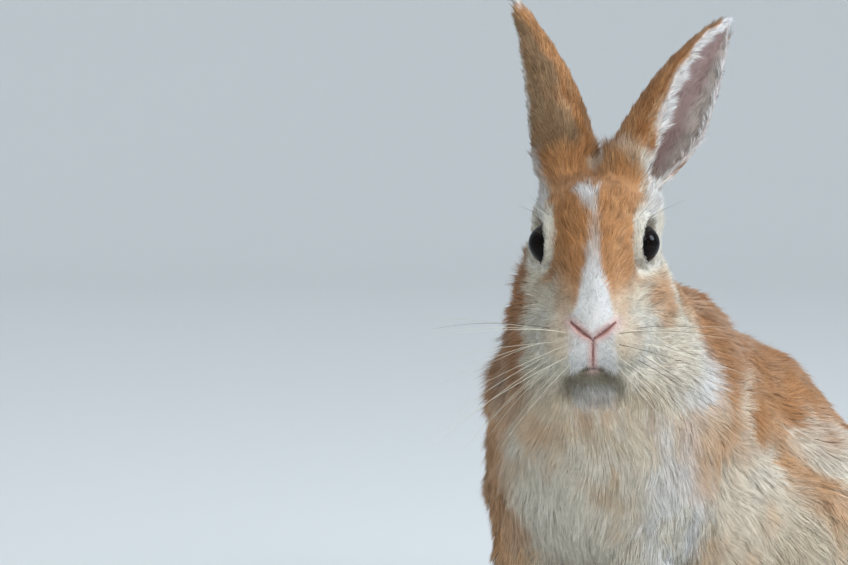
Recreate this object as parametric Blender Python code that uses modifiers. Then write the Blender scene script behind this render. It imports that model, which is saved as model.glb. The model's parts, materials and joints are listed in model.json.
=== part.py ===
"""A domestic rabbit sitting alert on its haunches, life size, with its head turned to its own left.

The solids are the rabbit's outline out to the tips of its coat. The trunk faces -Y, its left and right
sides are alike, +X is the rabbit's left, and the soles stand on z = 0. The flesh is one smooth blend of balls
and limbs, made as a volume and meshed by OpenVDB, then parted by thin cuts where the head, neck, trunk, tail
and legs meet. The ears are curled sheets with a thickness, and the eyes are balls in sockets.

Lengths in the tables are millimetres. Blender's units are metres. The head's frame has its origin midway
between the eyes, its nose towards -Y and its left towards +X.
"""

import math

import bmesh
import bpy
import numpy as np
import openvdb
from mathutils import Matrix, Vector

MM = 0.001

# Driving dimensions
EYE_HEIGHT = 189.0  # of the point midway between the eyes
HEAD_PLACE = Vector((11.0, -47.0, EYE_HEIGHT))
HEAD_YAW = math.radians(32.0)  # towards the rabbit's left
EYE_RADIUS = 9.4
EYE_OFFSET = 18.6  # of an eye's centre from the middle of the head
EAR_THICKNESS = 2.6
EAR_TIP_HALF_WIDTH = 1.6
GAP = 0.3  # between two solids that touch
SHARP = math.radians(50.0)  # an edge that turns further than this looks sharp

# Fineness of the meshes
VOXEL = 2.6
MARGIN = 12.0  # of empty volume round the masses
FLESH_TRIANGLES = 4480
EAR_ROWS = 12
EAR_COLUMNS = 8

# Where the head is parted from the neck: level under the throat, then sloping up behind the jaw to the nape.
# Each is (y, z) in the head's frame.
THROAT = (0.0, -63.0)
NAPE = (50.0, -5.0)

# Where the neck is parted from the trunk, in the rabbit's own frame
CHEST = (0.0, -60.0, 105.0)
NECK_RISE = (0.0, -60.0, 90.0)

# Blocks that cut the flesh reach this far to each side, and the one round the neck this far up
BLOCK_SIDE = 150.0
BLOCK_HEIGHT = 250.0
FLOOR_SIDE = 300.0
FLOOR_DEPTH = 60.0

# The round-ended regions that the limbs and tail are cut from: start, end, and the radii across, upward and
# along at each. They are for the left, and the right ones are their mirror images.
FORELEG_REGION = ((35, -24, 68), (28, -64, 6), (24, 24, 24), (21, 21, 24))
HINDLEG_REGION = ((66, 98, 36), (60, 26, 16), (36, 64, 62), (28, 34, 34))
TAIL_REGION = ((0, 162, 41), (0, 161, 41), (21, 30, 19), (21, 30, 19))

# Each foot has four toes: how far their middle is from the rabbit's, the step between them, and Y at the roots
# of their claws
FORE_TOES = (28.0, 4.8, -77.5)
HIND_TOES = (59.0, 5.5, 4.5)
CLAW_HEIGHT = 4.6
CLAW_LENGTH = 7.0
CLAW_RADII = (1.5, 0.3)  # at the root and the tip

# The back ridge of each ear runs from its base through a bend to its tip, and the ear opens towards
# "opening". Both are in the head's frame. The half width is of the sheet laid flat, at its broadest.
EARS = {
    "ear_left": {
        "ridge": ((7.8, 26.0, 31.0), (24.5, 34.0, 66.0), (58.5, 48.0, 97.0)),
        "opening": (0.55, -0.72, -0.42),
        "half_width": 33.0,
    },
    "ear_right": {
        "ridge": ((-2.0, 26.0, 32.5), (-0.8, 34.0, 63.6), (-35.8, 48.0, 106.7)),
        "opening": (-0.96, 0.28, 0.0),
        "half_width": 31.0,
    },
}
EAR_BELOW = 0.04  # how much of its length an ear's sheet goes on below its base, before it is cut level

# In the frame of an ear's base: what is cut from the foot of the ear, and the room cut for it in the head
EAR_FOOT = ((-30.0, -40.0, -30.0), (30.0, 20.0, 0.0))
EAR_ROOM = ((-22.0, -38.0, -GAP), (22.0, 12.0, 40.0))

# The colour and roughness of the coat in each region, and of the eyes
MATERIALS = {
    "coat_head": ((0.62, 0.36, 0.18), 0.85),
    "coat_neck": ((0.66, 0.56, 0.44), 0.88),
    "coat_trunk": ((0.60, 0.42, 0.26), 0.88),
    "coat_leg": ((0.68, 0.54, 0.38), 0.88),
    "coat_tail": ((0.80, 0.74, 0.66), 0.90),
    "coat_ear": ((0.58, 0.32, 0.17), 0.85),
    "eye": ((0.02, 0.012, 0.01), 0.08),
}


# ---------------------------------------------------------------- frames


def head_frame():
    """From the head's frame to the rabbit's."""
    return Matrix.Translation(HEAD_PLACE) @ Matrix.Rotation(HEAD_YAW, 4, "Z")


def frame_at(point, upward, forward):
    """A frame with its Z along upward and its -Y as near as it can be to forward."""
    z = Vector(upward).normalized()
    x = z.cross(Vector(forward)).normalized()
    turn = Matrix((x, z.cross(x), z)).transposed()
    return Matrix.Translation(point) @ turn.to_4x4()


# ---------------------------------------------------------------- masses that the flesh is blended from


def ball(centre, radii, pitch=0.0, blend=12.0, head=False):
    """An ellipsoid. A positive pitch raises its front, the -Y end."""
    turn = Matrix.Rotation(math.radians(-pitch), 3, "X")
    centre = Vector(centre)
    if head:
        centre = head_frame() @ centre
        turn = head_frame().to_3x3() @ turn
    return {"centre": centre, "radii": radii, "turn": turn, "blend": blend}


def limb(start, end, start_radius, end_radius, blend=10.0, head=False):
    """A ball swept along a line, from one radius to another."""
    ends = [Vector(start), Vector(end)]
    if head:
        ends = [head_frame() @ point for point in ends]
    return {"ends": ends, "radii": (start_radius, end_radius), "blend": blend}


def pair(make, *settings, **named):
    """A mass on the left, as given, and its mirror image on the right."""
    count = 1 if make is ball else 2
    left, sizes = settings[:count], settings[count:]
    right = [(-x, y, z) for x, y, z in left]
    return [make(*left, *sizes, **named), make(*right, *sizes, **named)]


def head_masses():
    skull = [
        ball((0, 15, 3), (28, 31, 27), blend=10, head=True),
        ball((0, -2, 6), (18, 17, 19), blend=8, head=True),
        *pair(ball, (15, 3, 11), (9, 10, 5), blend=6, head=True),
    ]
    muzzle = [
        limb((0, -4, -5), (0, -29, -30), 18, 13.5, blend=9, head=True),
        ball((0, -36, -31), (8.5, 6.5, 7.5), blend=6, head=True),
        ball((0, -24, -53), (11, 11, 8), blend=8, head=True),
        limb((0, -18, -46), (0, 6, -40), 12, 19, blend=10, head=True),
        *pair(ball, (9.5, -28, -42), (13, 13.5, 12), blend=8, head=True),
    ]
    cheeks = [
        *pair(limb, (11, -20, -36), (17.5, 8, -33), 12, 16.5, blend=10, head=True),
        *pair(ball, (16, 12, -14), (12.5, 17, 17), blend=8, head=True),
    ]
    ear_roots = [
        limb((15, 18, 12), (18, 20, 33), 14, 12.5, blend=8, head=True),
        limb((-11, 22, 12), (-12.5, 29, 35), 13, 12.5, blend=8, head=True),
    ]
    return skull + muzzle + cheeks + ear_roots


def neck_masses():
    return [
        limb((0, 20, -14), (-3, 28, -56), 22, 35, blend=12, head=True),
        limb((0, -24, 150), (0, 0, 132), 32, 44, blend=20),
        ball((2, -47, 120), (33, 23, 34), blend=16),
    ]


def trunk_masses():
    return [
        ball((0, -34, 96), (46, 38, 52), blend=18),
        ball((0, 14, 106), (55, 60, 62), pitch=12, blend=20),
        ball((0, 70, 92), (60, 62, 56), pitch=12, blend=20),
        ball((0, 112, 68), (56, 46, 52), blend=20),
        *pair(ball, (31, -22, 100), (23, 30, 42), blend=16),
        *pair(ball, (56, 88, 56), (28, 54, 47), blend=16),
        *pair(ball, (36, 22, 60), (23, 42, 32), blend=16),
    ]


def toe_places(toes):
    """Across both feet, the places of the four toes of each."""
    middle, step, _ = toes
    return [side * (middle + step * k) for side in (1, -1) for k in (-1.5, -0.5, 0.5, 1.5)]


def foreleg_masses():
    return [
        *pair(limb, (34, -30, 78), (29, -44, 30), 21, 13),
        *pair(limb, (28, -46, 26), (28, -58, 10), 12, 10.5),
        *pair(limb, (28, -60, 9), (28, -70, 7), 11, 8.5, blend=6),
        *(ball((x, -75, 5), (4.2, 6, 5), blend=4) for x in toe_places(FORE_TOES)),
    ]


def hindleg_masses():
    return [
        *pair(limb, (62, 128, 14), (60, 40, 12), 15, 14),
        *pair(limb, (60, 38, 11), (59, 16, 8), 14, 9, blend=8),
        *(ball((x, 9, 5.5), (4.8, 8, 5.5), blend=4) for x in toe_places(HIND_TOES)),
    ]


def tail_masses():
    return [ball((0, 157, 41), (16, 15, 24), pitch=14, blend=5)]


# ---------------------------------------------------------------- the blended flesh


def distance_to_ball(points, mass):
    local = (points - np.array(mass["centre"], np.float32)) @ np.array(mass["turn"], np.float32)
    radii = np.array(mass["radii"], np.float32)
    near = np.linalg.norm(local / radii, axis=1)
    steep = np.linalg.norm(local / radii**2, axis=1)
    return near * (near - 1) / np.maximum(steep, 1e-6)


def distance_to_limb(points, mass):
    start, end = (np.array(point, np.float32) for point in mass["ends"])
    along = end - start
    share = np.clip((points - start) @ along / (along @ along), 0, 1)
    radius = mass["radii"][0] + (mass["radii"][1] - mass["radii"][0]) * share
    return np.linalg.norm(points - start - share[:, None] * along, axis=1) - radius


def blended_distance(points, masses):
    """Signed distance to the smooth union of the masses."""
    total = np.full(len(points), 1e3, np.float32)
    for mass in masses:
        distance = distance_to_ball(points, mass) if "centre" in mass else distance_to_limb(points, mass)
        overlap = np.maximum(mass["blend"] - np.abs(total - distance), 0) / mass["blend"]
        total = np.minimum(total, distance) - overlap**2 * mass["blend"] / 4
    return total


def corners_of(masses):
    """The lowest and highest corner of a box round the masses."""
    ends = [(point, max(mass["radii"])) for mass in masses for point in mass.get("ends") or [mass["centre"]]]
    low = np.min([np.array(point) - radius for point, radius in ends], axis=0) - MARGIN
    high = np.max([np.array(point) + radius for point, radius in ends], axis=0) + MARGIN
    return low, high


def mesh_of(masses, voxel):
    """The surface of the blended masses, as a mesh in metres."""
    low, high = corners_of(masses)
    sides = [np.arange(a, b, voxel, np.float32) for a, b in zip(low, high)]
    shape = [len(side) for side in sides]
    points = np.stack(np.meshgrid(*sides, indexing="ij"), axis=-1).reshape(-1, 3)
    grid = openvdb.FloatGrid(MARGIN)
    grid.copyFromArray(blended_distance(points, masses).reshape(shape))
    found, _, quads = grid.convertToPolygons(isovalue=0.0)
    mesh = bpy.data.meshes.new("flesh")
    mesh.from_pydata(((found * voxel + low) * MM).tolist(), [], quads[:, ::-1].tolist())
    return mesh


def flesh_mesh(floor):
    """The whole blended body, with flat soles where it meets the floor."""
    masses = head_masses() + neck_masses() + trunk_masses()
    masses += foreleg_masses() + hindleg_masses() + tail_masses()
    carrier = placed("carrier", mesh_of(masses, VOXEL), bpy.context.scene.collection)
    carrier.data.calc_loop_triangles()
    fewer = carrier.modifiers.new("fewer", "DECIMATE")
    fewer.ratio = FLESH_TRIANGLES / len(carrier.data.loop_triangles)
    boolean(carrier, "DIFFERENCE", floor)
    return settled(carrier)


# ---------------------------------------------------------------- objects and modifiers


def placed(name, mesh, collection):
    made = bpy.data.objects.new(name, mesh)
    collection.objects.link(made)
    return made


def settled(carrier):
    """The mesh of an object with its modifiers applied. The object is removed."""
    view = bpy.context.evaluated_depsgraph_get()
    mesh = bpy.data.meshes.new_from_object(carrier.evaluated_get(view))
    bpy.data.objects.remove(carrier)
    return mesh


def boolean(target, operation, cutter):
    cut = target.modifiers.new(cutter.name, "BOOLEAN")
    cut.operation = operation
    cut.object = cutter
    cut.solver = "EXACT"


def material(name):
    colour, roughness = MATERIALS[name]
    made = bpy.data.materials.get(name) or bpy.data.materials.new(name)
    made.use_nodes = True
    shader = made.node_tree.nodes["Principled BSDF"]
    shader.inputs["Base Color"].default_value = (*colour, 1.0)
    shader.inputs["Roughness"].default_value = roughness
    shader.inputs["Metallic"].default_value = 0.0
    return made


def finished(form, name):
    """A mesh in metres from a form in millimetres."""
    bmesh.ops.scale(form, vec=(MM, MM, MM), verts=form.verts)
    bmesh.ops.recalc_face_normals(form, faces=form.faces)
    mesh = bpy.data.meshes.new(name)
    form.to_mesh(mesh)
    form.free()
    return mesh


# ---------------------------------------------------------------- cutters


def as_cutter(form, name, cutters):
    cutter = placed(name, finished(form, name), cutters)
    cutter.hide_render = True
    cutter.display_type = "WIRE"
    return cutter


def block(name, low, high, frame, cutters):
    """A box between two corners of a frame."""
    low, high = Vector(low), Vector(high)
    form = bmesh.new()
    bmesh.ops.create_cube(form, size=1.0)
    bmesh.ops.scale(form, vec=high - low, verts=form.verts)
    bmesh.ops.translate(form, vec=(low + high) / 2, verts=form.verts)
    bmesh.ops.transform(form, matrix=frame, verts=form.verts)
    return as_cutter(form, name, cutters)


def round_cutter(name, start, end, start_radii, end_radii, grown, cutters):
    """A form with round ends, each half an ellipsoid. Radii are across, upward and along."""
    start, end = Vector(start), Vector(end)
    turn = (end - start).to_track_quat("Z", "Y").to_matrix()
    form = bmesh.new()
    bmesh.ops.create_uvsphere(form, u_segments=16, v_segments=8, radius=1.0)
    for vertex in form.verts:
        place, radii = (end, end_radii) if vertex.co.z > 1e-6 else (start, start_radii)
        vertex.co = place + turn @ (vertex.co * (Vector(radii) + Vector((grown, grown, grown))))
    bmesh.ops.triangulate(form, faces=form.faces, quad_method="FIXED")
    return as_cutter(form, name, cutters)


def head_cutter(name, grown, cutters):
    """All that lies above the throat and before the nape."""
    reach = 120.0
    form = bmesh.new()
    bmesh.ops.create_cube(form, size=2 * reach)
    bmesh.ops.translate(form, vec=(0, 0, reach + THROAT[1] - grown), verts=form.verts)
    backward = Vector((0, NAPE[1] - THROAT[1], THROAT[0] - NAPE[0])).normalized()
    everything = form.verts[:] + form.edges[:] + form.faces[:]
    cut = bmesh.ops.bisect_plane(
        form,
        geom=everything,
        plane_co=Vector((0, *THROAT)) + backward * grown,
        plane_no=backward,
        clear_outer=True,
    )
    rim = [edge for edge in cut["geom_cut"] if isinstance(edge, bmesh.types.BMEdge)]
    bmesh.ops.edgeloop_fill(form, edges=rim)
    bmesh.ops.transform(form, matrix=head_frame(), verts=form.verts)
    return as_cutter(form, name, cutters)


def neck_cutter(name, grown, cutters):
    """All that lies above the chest."""
    low, high = (-BLOCK_SIDE, -BLOCK_SIDE, -grown), (BLOCK_SIDE, BLOCK_SIDE, BLOCK_HEIGHT)
    return block(name, low, high, frame_at(CHEST, NECK_RISE, (0, -1, 0)), cutters)


def region_cutter(name, region, side, grown, cutters):
    """One of the round-ended regions, on the left (side 1) or mirrored to the right (side -1)."""
    start, end, start_radii, end_radii = region
    mirror = Vector((side, 1, 1))
    start, end = Vector(start) * mirror, Vector(end) * mirror
    return round_cutter(name, start, end, start_radii, end_radii, grown, cutters)


def claws(name, side, toes, cutters):
    """Four claws, each reaching forward and a little down from its toe."""
    middle, step, y = toes
    lie = Vector((0, -1, -0.3)).normalized()
    turn = lie.to_track_quat("Z", "Y").to_matrix().to_4x4()
    form = bmesh.new()
    for k in (-1.5, -0.5, 0.5, 1.5):
        root = Vector((side * (middle + step * k), y, CLAW_HEIGHT))
        place = Matrix.Translation(root + lie * CLAW_LENGTH / 2) @ turn
        bmesh.ops.create_cone(
            form,
            cap_ends=True,
            segments=5,
            radius1=CLAW_RADII[0],
            radius2=CLAW_RADII[1],
            depth=CLAW_LENGTH,
            matrix=place,
        )
    return as_cutter(form, name, cutters)


# ---------------------------------------------------------------- ears


def ridge_at(ridge, share):
    """A point on the bent back ridge of an ear, and the direction towards its tip."""
    base, bend, tip = (Vector(point) for point in ridge)
    point = base * (1 - share) ** 2 + bend * 2 * share * (1 - share) + tip * share**2
    return point, ((bend - base) * (1 - share) + (tip - bend) * share).normalized()


def ear_half_width(ear, share):
    """Of the sheet laid flat: broad to the middle, then drawn in to a point."""
    return ear["half_width"] * (1 - max(share, 0.0) ** 2.4) ** 0.9 + EAR_TIP_HALF_WIDTH


def ear_curl(ear, share):
    """Half the angle that the sheet curls through: nearly a tube at the root, open towards the tip."""
    least_radius = 6.0
    curl = 1.2 + 1.6 * (1 - share) ** 1.6
    return min(curl, ear_half_width(ear, share) / least_radius)


def ear_point(ear, share, across):
    """A point of the sheet, across from -1 at one edge to 1 at the other."""
    point, tipward = ridge_at(ear["ridge"], share)
    opening = Vector(ear["opening"])
    opening = (opening - tipward * opening.dot(tipward)).normalized()
    aside = tipward.cross(opening)
    curl = ear_curl(ear, share)
    radius = ear_half_width(ear, share) / curl
    angle = curl * across
    return point + opening * radius * (1 - math.cos(angle)) + aside * radius * math.sin(angle)


def ear_mesh(ear):
    """The middle surface of an ear, from a little below its base to its tip."""
    form = bmesh.new()
    rows = []
    for row in range(EAR_ROWS + 1):
        share = -EAR_BELOW + (1 + EAR_BELOW) * row / EAR_ROWS
        spread = [2 * column / EAR_COLUMNS - 1 for column in range(EAR_COLUMNS + 1)]
        rows.append([form.verts.new(head_frame() @ ear_point(ear, share, across)) for across in spread])
    for lower, upper in zip(rows, rows[1:]):
        for k in range(EAR_COLUMNS):
            form.faces.new((lower[k], lower[k + 1], upper[k + 1], upper[k]))
    return finished(form, "ear")


def ear_base_frame(ear):
    base, tipward = ridge_at(ear["ridge"], 0.0)
    return head_frame() @ frame_at(base, tipward, ear["opening"])


def make_ear(name, ear, parts, cutters):
    made = placed(name, ear_mesh(ear), parts)
    shell = made.modifiers.new("thickness", "SOLIDIFY")
    shell.thickness = EAR_THICKNESS * MM
    shell.offset = 0.0
    below = block(f"below_{name}", *EAR_FOOT, ear_base_frame(ear), cutters)
    boolean(made, "DIFFERENCE", below)
    made.data.materials.append(material("coat_ear"))
    return made


# ---------------------------------------------------------------- eyes and the parted flesh


def eye_ball(name, side, radius):
    """A ball with its poles across the head."""
    form = bmesh.new()
    turned = Matrix.Rotation(math.pi / 2, 4, "Y")
    place = head_frame() @ Matrix.Translation((side * EYE_OFFSET, 0, 0)) @ turned
    bmesh.ops.create_uvsphere(form, u_segments=16, v_segments=8, radius=radius, matrix=place)
    return form


def make_eye(name, side, parts):
    made = placed(name, finished(eye_ball(name, side, EYE_RADIUS), name), parts)
    made.data.materials.append(material("eye"))
    return made


def flesh_part(name, flesh, coat, parts, keep=None, lose=(), add=None):
    """The flesh within keep and outside every one of lose, with add joined to it."""
    made = placed(name, flesh.copy(), parts)
    if keep:
        boolean(made, "INTERSECT", keep)
    for cutter in lose:
        boolean(made, "DIFFERENCE", cutter)
    if add:
        boolean(made, "UNION", add)
    made.data.materials.append(material(coat))
    return made


def make_head(flesh, parts, cutters):
    keep = head_cutter("head_region", 0.0, cutters)
    sockets = [
        as_cutter(eye_ball(f"socket_{side}", side, EYE_RADIUS + GAP), f"eye_socket_{word}", cutters)
        for word, side in (("left", 1), ("right", -1))
    ]
    over_roots = [
        block(f"root_of_{name}", *EAR_ROOM, ear_base_frame(ear), cutters) for name, ear in EARS.items()
    ]
    flesh_part("head", flesh, "coat_head", parts, keep, sockets + over_roots)


def make_neck(flesh, parts, cutters):
    keep = neck_cutter("neck_region", 0.0, cutters)
    lose = [head_cutter("head_region_grown", GAP, cutters)]
    flesh_part("neck", flesh, "coat_neck", parts, keep, lose)


def make_legs(flesh, parts, cutters):
    for word, side in (("left", 1), ("right", -1)):
        keep = region_cutter(f"foreleg_{word}_region", FORELEG_REGION, side, 0.0, cutters)
        add = claws(f"foreclaws_{word}", side, FORE_TOES, cutters)
        flesh_part(f"foreleg_{word}", flesh, "coat_leg", parts, keep, add=add)
        keep = region_cutter(f"hindleg_{word}_region", HINDLEG_REGION, side, 0.0, cutters)
        add = claws(f"hindclaws_{word}", side, HIND_TOES, cutters)
        flesh_part(f"hindleg_{word}", flesh, "coat_leg", parts, keep, add=add)


def make_trunk_and_tail(flesh, parts, cutters):
    lose = [
        head_cutter("head_region_behind", GAP, cutters),
        neck_cutter("neck_region_grown", GAP, cutters),
        region_cutter("tail_region_grown", TAIL_REGION, 1, GAP, cutters),
    ]
    for word, side in (("left", 1), ("right", -1)):
        lose.append(region_cutter(f"foreleg_{word}_region_grown", FORELEG_REGION, side, GAP, cutters))
        lose.append(region_cutter(f"hindleg_{word}_region_grown", HINDLEG_REGION, side, GAP, cutters))
    flesh_part("trunk", flesh, "coat_trunk", parts, lose=lose)
    keep = region_cutter("tail_region", TAIL_REGION, 1, 0.0, cutters)
    flesh_part("tail", flesh, "coat_tail", parts, keep)


def stand_on_origin(parts):
    """Parents every part to an empty, so placed that the origin is under the rabbit's middle, on the floor."""
    view = bpy.context.evaluated_depsgraph_get()
    corners = []
    for part in parts.objects:
        evaluated = part.evaluated_get(view)
        corners += [evaluated.matrix_world @ Vector(corner) for corner in evaluated.bound_box]
    low = Vector(min(corner[axis] for corner in corners) for axis in range(3))
    high = Vector(max(corner[axis] for corner in corners) for axis in range(3))
    stand = bpy.data.objects.new("rabbit_place", None)
    stand.location = (-(low.x + high.x) / 2, -(low.y + high.y) / 2, -low.z)
    for part in parts.objects:
        part.parent = stand
    parts.objects.link(stand)
    return stand


def main():
    for leftover in list(bpy.data.objects):
        bpy.data.objects.remove(leftover)
    parts = bpy.data.collections.new("rabbit")
    cutters = bpy.data.collections.new("cutters")
    for collection in (parts, cutters):
        bpy.context.scene.collection.children.link(collection)
    low, high = (-FLOOR_SIDE, -FLOOR_SIDE, -FLOOR_DEPTH), (FLOOR_SIDE, FLOOR_SIDE, 0.0)
    floor = block("floor_region", low, high, Matrix.Identity(4), cutters)
    flesh = flesh_mesh(floor)
    make_head(flesh, parts, cutters)
    make_neck(flesh, parts, cutters)
    make_trunk_and_tail(flesh, parts, cutters)
    make_legs(flesh, parts, cutters)
    for name, ear in EARS.items():
        make_ear(name, ear, parts, cutters)
    for word, side in (("left", 1), ("right", -1)):
        make_eye(f"eye_{word}", side, parts)
    for part in parts.objects:
        part.data.shade_smooth()
        part.data.set_sharp_from_angle(angle=SHARP)
    bpy.data.meshes.remove(flesh)
    stand = stand_on_origin(parts)
    for cutter in cutters.objects:
        cutter.parent = stand


main()
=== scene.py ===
"""The looks of a domestic rabbit that sits alert with its head turned: skin, coat in tufts, and fittings.

The skin stands for all the flesh. It lies inside the solids by the depth of the coat, and the tufts fill that
depth again. Lengths in the tables are millimetres. Places on the head are in the head's frame: its origin is
midway between the eyes, X is the rabbit's left, -Y is towards the nose and Z is up.
"""

import json
import math
from collections import namedtuple

import bmesh
import bpy
import numpy as np
import openvdb
from mathutils import Matrix, Vector, kdtree

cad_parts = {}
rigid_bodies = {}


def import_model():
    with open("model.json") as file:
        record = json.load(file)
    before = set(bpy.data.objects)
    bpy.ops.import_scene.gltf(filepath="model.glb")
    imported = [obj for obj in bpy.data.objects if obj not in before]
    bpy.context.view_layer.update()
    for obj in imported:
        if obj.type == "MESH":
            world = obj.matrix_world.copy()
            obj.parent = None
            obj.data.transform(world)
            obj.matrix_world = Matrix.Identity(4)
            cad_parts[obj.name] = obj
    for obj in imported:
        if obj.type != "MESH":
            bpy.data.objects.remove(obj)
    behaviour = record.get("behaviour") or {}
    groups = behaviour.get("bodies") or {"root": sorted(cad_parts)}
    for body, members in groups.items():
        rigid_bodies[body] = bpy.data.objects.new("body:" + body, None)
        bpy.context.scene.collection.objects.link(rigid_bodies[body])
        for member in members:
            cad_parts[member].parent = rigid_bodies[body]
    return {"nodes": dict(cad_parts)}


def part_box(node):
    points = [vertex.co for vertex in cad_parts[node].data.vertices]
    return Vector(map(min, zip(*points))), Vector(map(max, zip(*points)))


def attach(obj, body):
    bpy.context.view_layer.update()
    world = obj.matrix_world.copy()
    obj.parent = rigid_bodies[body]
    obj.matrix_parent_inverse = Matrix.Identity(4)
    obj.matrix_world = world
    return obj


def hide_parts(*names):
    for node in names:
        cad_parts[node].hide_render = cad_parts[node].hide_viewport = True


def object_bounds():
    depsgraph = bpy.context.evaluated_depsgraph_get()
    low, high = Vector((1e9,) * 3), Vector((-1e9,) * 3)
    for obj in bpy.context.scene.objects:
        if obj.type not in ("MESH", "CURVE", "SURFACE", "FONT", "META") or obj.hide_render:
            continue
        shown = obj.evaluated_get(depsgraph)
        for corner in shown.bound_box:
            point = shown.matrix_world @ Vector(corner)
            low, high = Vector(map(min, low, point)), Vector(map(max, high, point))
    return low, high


MM = 0.001

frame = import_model()
cad_low, cad_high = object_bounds()

# ---- named sizes

FLESH = ("head", "neck", "trunk", "tail", "foreleg_left", "foreleg_right", "hindleg_left", "hindleg_right")
EARS = ("ear_left", "ear_right")

# The volume that the skin is drawn from
VOXEL = 0.9
MARGIN = 12.0
NEAR_REACH, FAR_REACH = 3.0, 14.0  # cells either side of a surface in which its distance is known
SPARE_CELLS = 4  # round the block of cells of a node
CLOSING = 0.5  # swells the flesh over the thin cuts between the solids
DEPTH_BLUR = {"radius": 5, "passes": 2}  # of the coat's depth
SKIN_BLUR = {"radius": 2, "passes": 2}  # of the distance to the skin
EVENING_ROUNDS = 12
SOFTENING_ROUNDS = 40  # of the regions' borders and the lie of the coat
SKIN_TRIANGLES = 150000

# Depth of the coat, from its tips to the skin
COAT_DEPTH = {"head": 1.6, "neck": 5.5, "trunk": 6.0, "tail": 8.0, "foreleg": 4.5, "hindleg": 5.0}
BARE_DEPTH = 0.7
PAW_DEPTH = 2.2
PAW_TOP, LEG_TOP = 18.0, 60.0  # the coat deepens between these heights

# The eyes
EYE_RADIUS = 9.4
EYE_BULGE = 0.45
LID_THICKNESS = 1.4
LID_PLANE = 3.9  # from the eye's centre out to the edges of the lids
LID_GAP = 0.12  # keeps the lids off the eyeball
LID_CUT = 3.0  # how far out from the eyeball the opening is cut
LID_JOIN, CUT_JOIN, LID_EDGE = 3.0, 1.5, 1.0  # softness into the head, round the cut and at the edges
GAZE_FORWARD = math.radians(3.0)
GAZE_UP = math.radians(4.0)

# The ears: their bent back ridges from root to tip, the way that they open, and half their width when flat
EAR_SKIN = 1.9
EAR_TIP_HALF_WIDTH = 1.6
EAR_JOIN = 4.0  # how softly an ear runs into the head
EAR_SHAPES = {
    "ear_left": {
        "ridge": ((7.8, 26.0, 31.0), (24.5, 34.0, 66.0), (58.5, 48.0, 97.0)),
        "opening": (0.55, -0.72, -0.42),
        "half_width": 33.0,
    },
    "ear_right": {
        "ridge": ((-2.0, 26.0, 32.5), (-0.8, 34.0, 63.6), (-35.8, 48.0, 106.7)),
        "opening": (-0.96, 0.28, 0.0),
        "half_width": 31.0,
    },
}

# The nostrils, cleft and mouth, as (across, height) on the front of the muzzle, the same on both sides
NOSE_TIP = (0.0, -43.0, -35.0)
NOSTRIL_LINE = ((0.0, -38.7), (5.0, -35.2), (9.3, -31.6))
CLEFT_LINE = ((0.0, -38.7), (0.0, -51.0))
MOUTH_LINE = ((0.0, -51.2), (2.0, -51.5), (4.0, -52.2))
# Soft swellings of the muzzle: across, height, radius and rise
SWELLINGS = ((0, -33.5, 4.5, 0.5), (5.2, -45, 5.0, 0.9), (7.8, -34.5, 3.2, 0.5))

# The coat by region: a tuft's length, width and angle from the skin, and tufts to a square millimetre
COAT = {
    "head": (7.5, 0.34, 14.0, 6.0),
    "neck": (11.5, 0.40, 15.0, 4.0),
    "trunk": (11.5, 0.44, 13.5, 3.0),
    "tail": (14.0, 0.60, 38.0, 4.0),
    "foreleg": (8.0, 0.46, 18.0, 4.0),
    "hindleg": (10.0, 0.50, 18.0, 3.0),
    "ear": (5.0, 0.42, 12.0, 5.0),
}

# The pieces of the coat: the record's material slot, the number of tufts, and whether they are curved
PIECES = {
    "face": ("coat_head", 49000, False),
    "head": ("coat_head", 49000, False),
    "ear_left": ("coat_ear", 24000, False),
    "ear_right": ("coat_ear", 24000, False),
    "neck": ("coat_neck", 38000, False),
    "chest": ("coat_trunk", 38000, False),
    "back": ("coat_trunk", 45000, False),
    "flanks": ("coat_trunk", 45000, False),
    "forelegs": ("coat_leg", 15000, False),
    "hindlegs": ("coat_leg", 30000, False),
    "tail": ("coat_tail", 3200, True),
}
PATCH = 0.003  # the side of a tuft's patch on the unwrap
FIRST_SEED = 100  # of the pieces' random numbers
FACE_BACK = 6.0  # on the head, the coat of the face gives way to that of the crown and cheeks
CHEST_BACK = -45.0
BACK_LOW = 92.0

# The shape of a tuft
SINK = 0.6  # of its root below the skin
BEND_AT = 0.55  # of its length
BEND_WIDTH = 0.72  # of its width at the root
LOW_LIFT, HIGH_LIFT = 1.25, 0.55  # of its lift, below and above the bend
LOCK_SIZE = 12  # tufts that draw together

# How the tufts of a slot differ: how far their lie wanders, over what length, how strong the fine streaks
# and the scatter of tone are, how much paler the whole is, how dark the roots are, and how evenly it is lit
Look = namedtuple("Look", "wander wavelength streaks scatter paler roots evenness")
SOFT = Look(0.4, 0.030, 0.07, 0.07, 0.04, 0.3, 1.3)
PLAIN = Look(0.30, 0.014, 0.16, 0.22, 0.0, 0.3, 1.0)
LOOKS = {
    "coat_head": PLAIN._replace(roots=1.1, evenness=0.75),
    "coat_ear": PLAIN._replace(scatter=0.30),
    "coat_neck": SOFT,
    "coat_trunk": SOFT,
    "coat_leg": PLAIN,
    "coat_tail": PLAIN,
}

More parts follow.
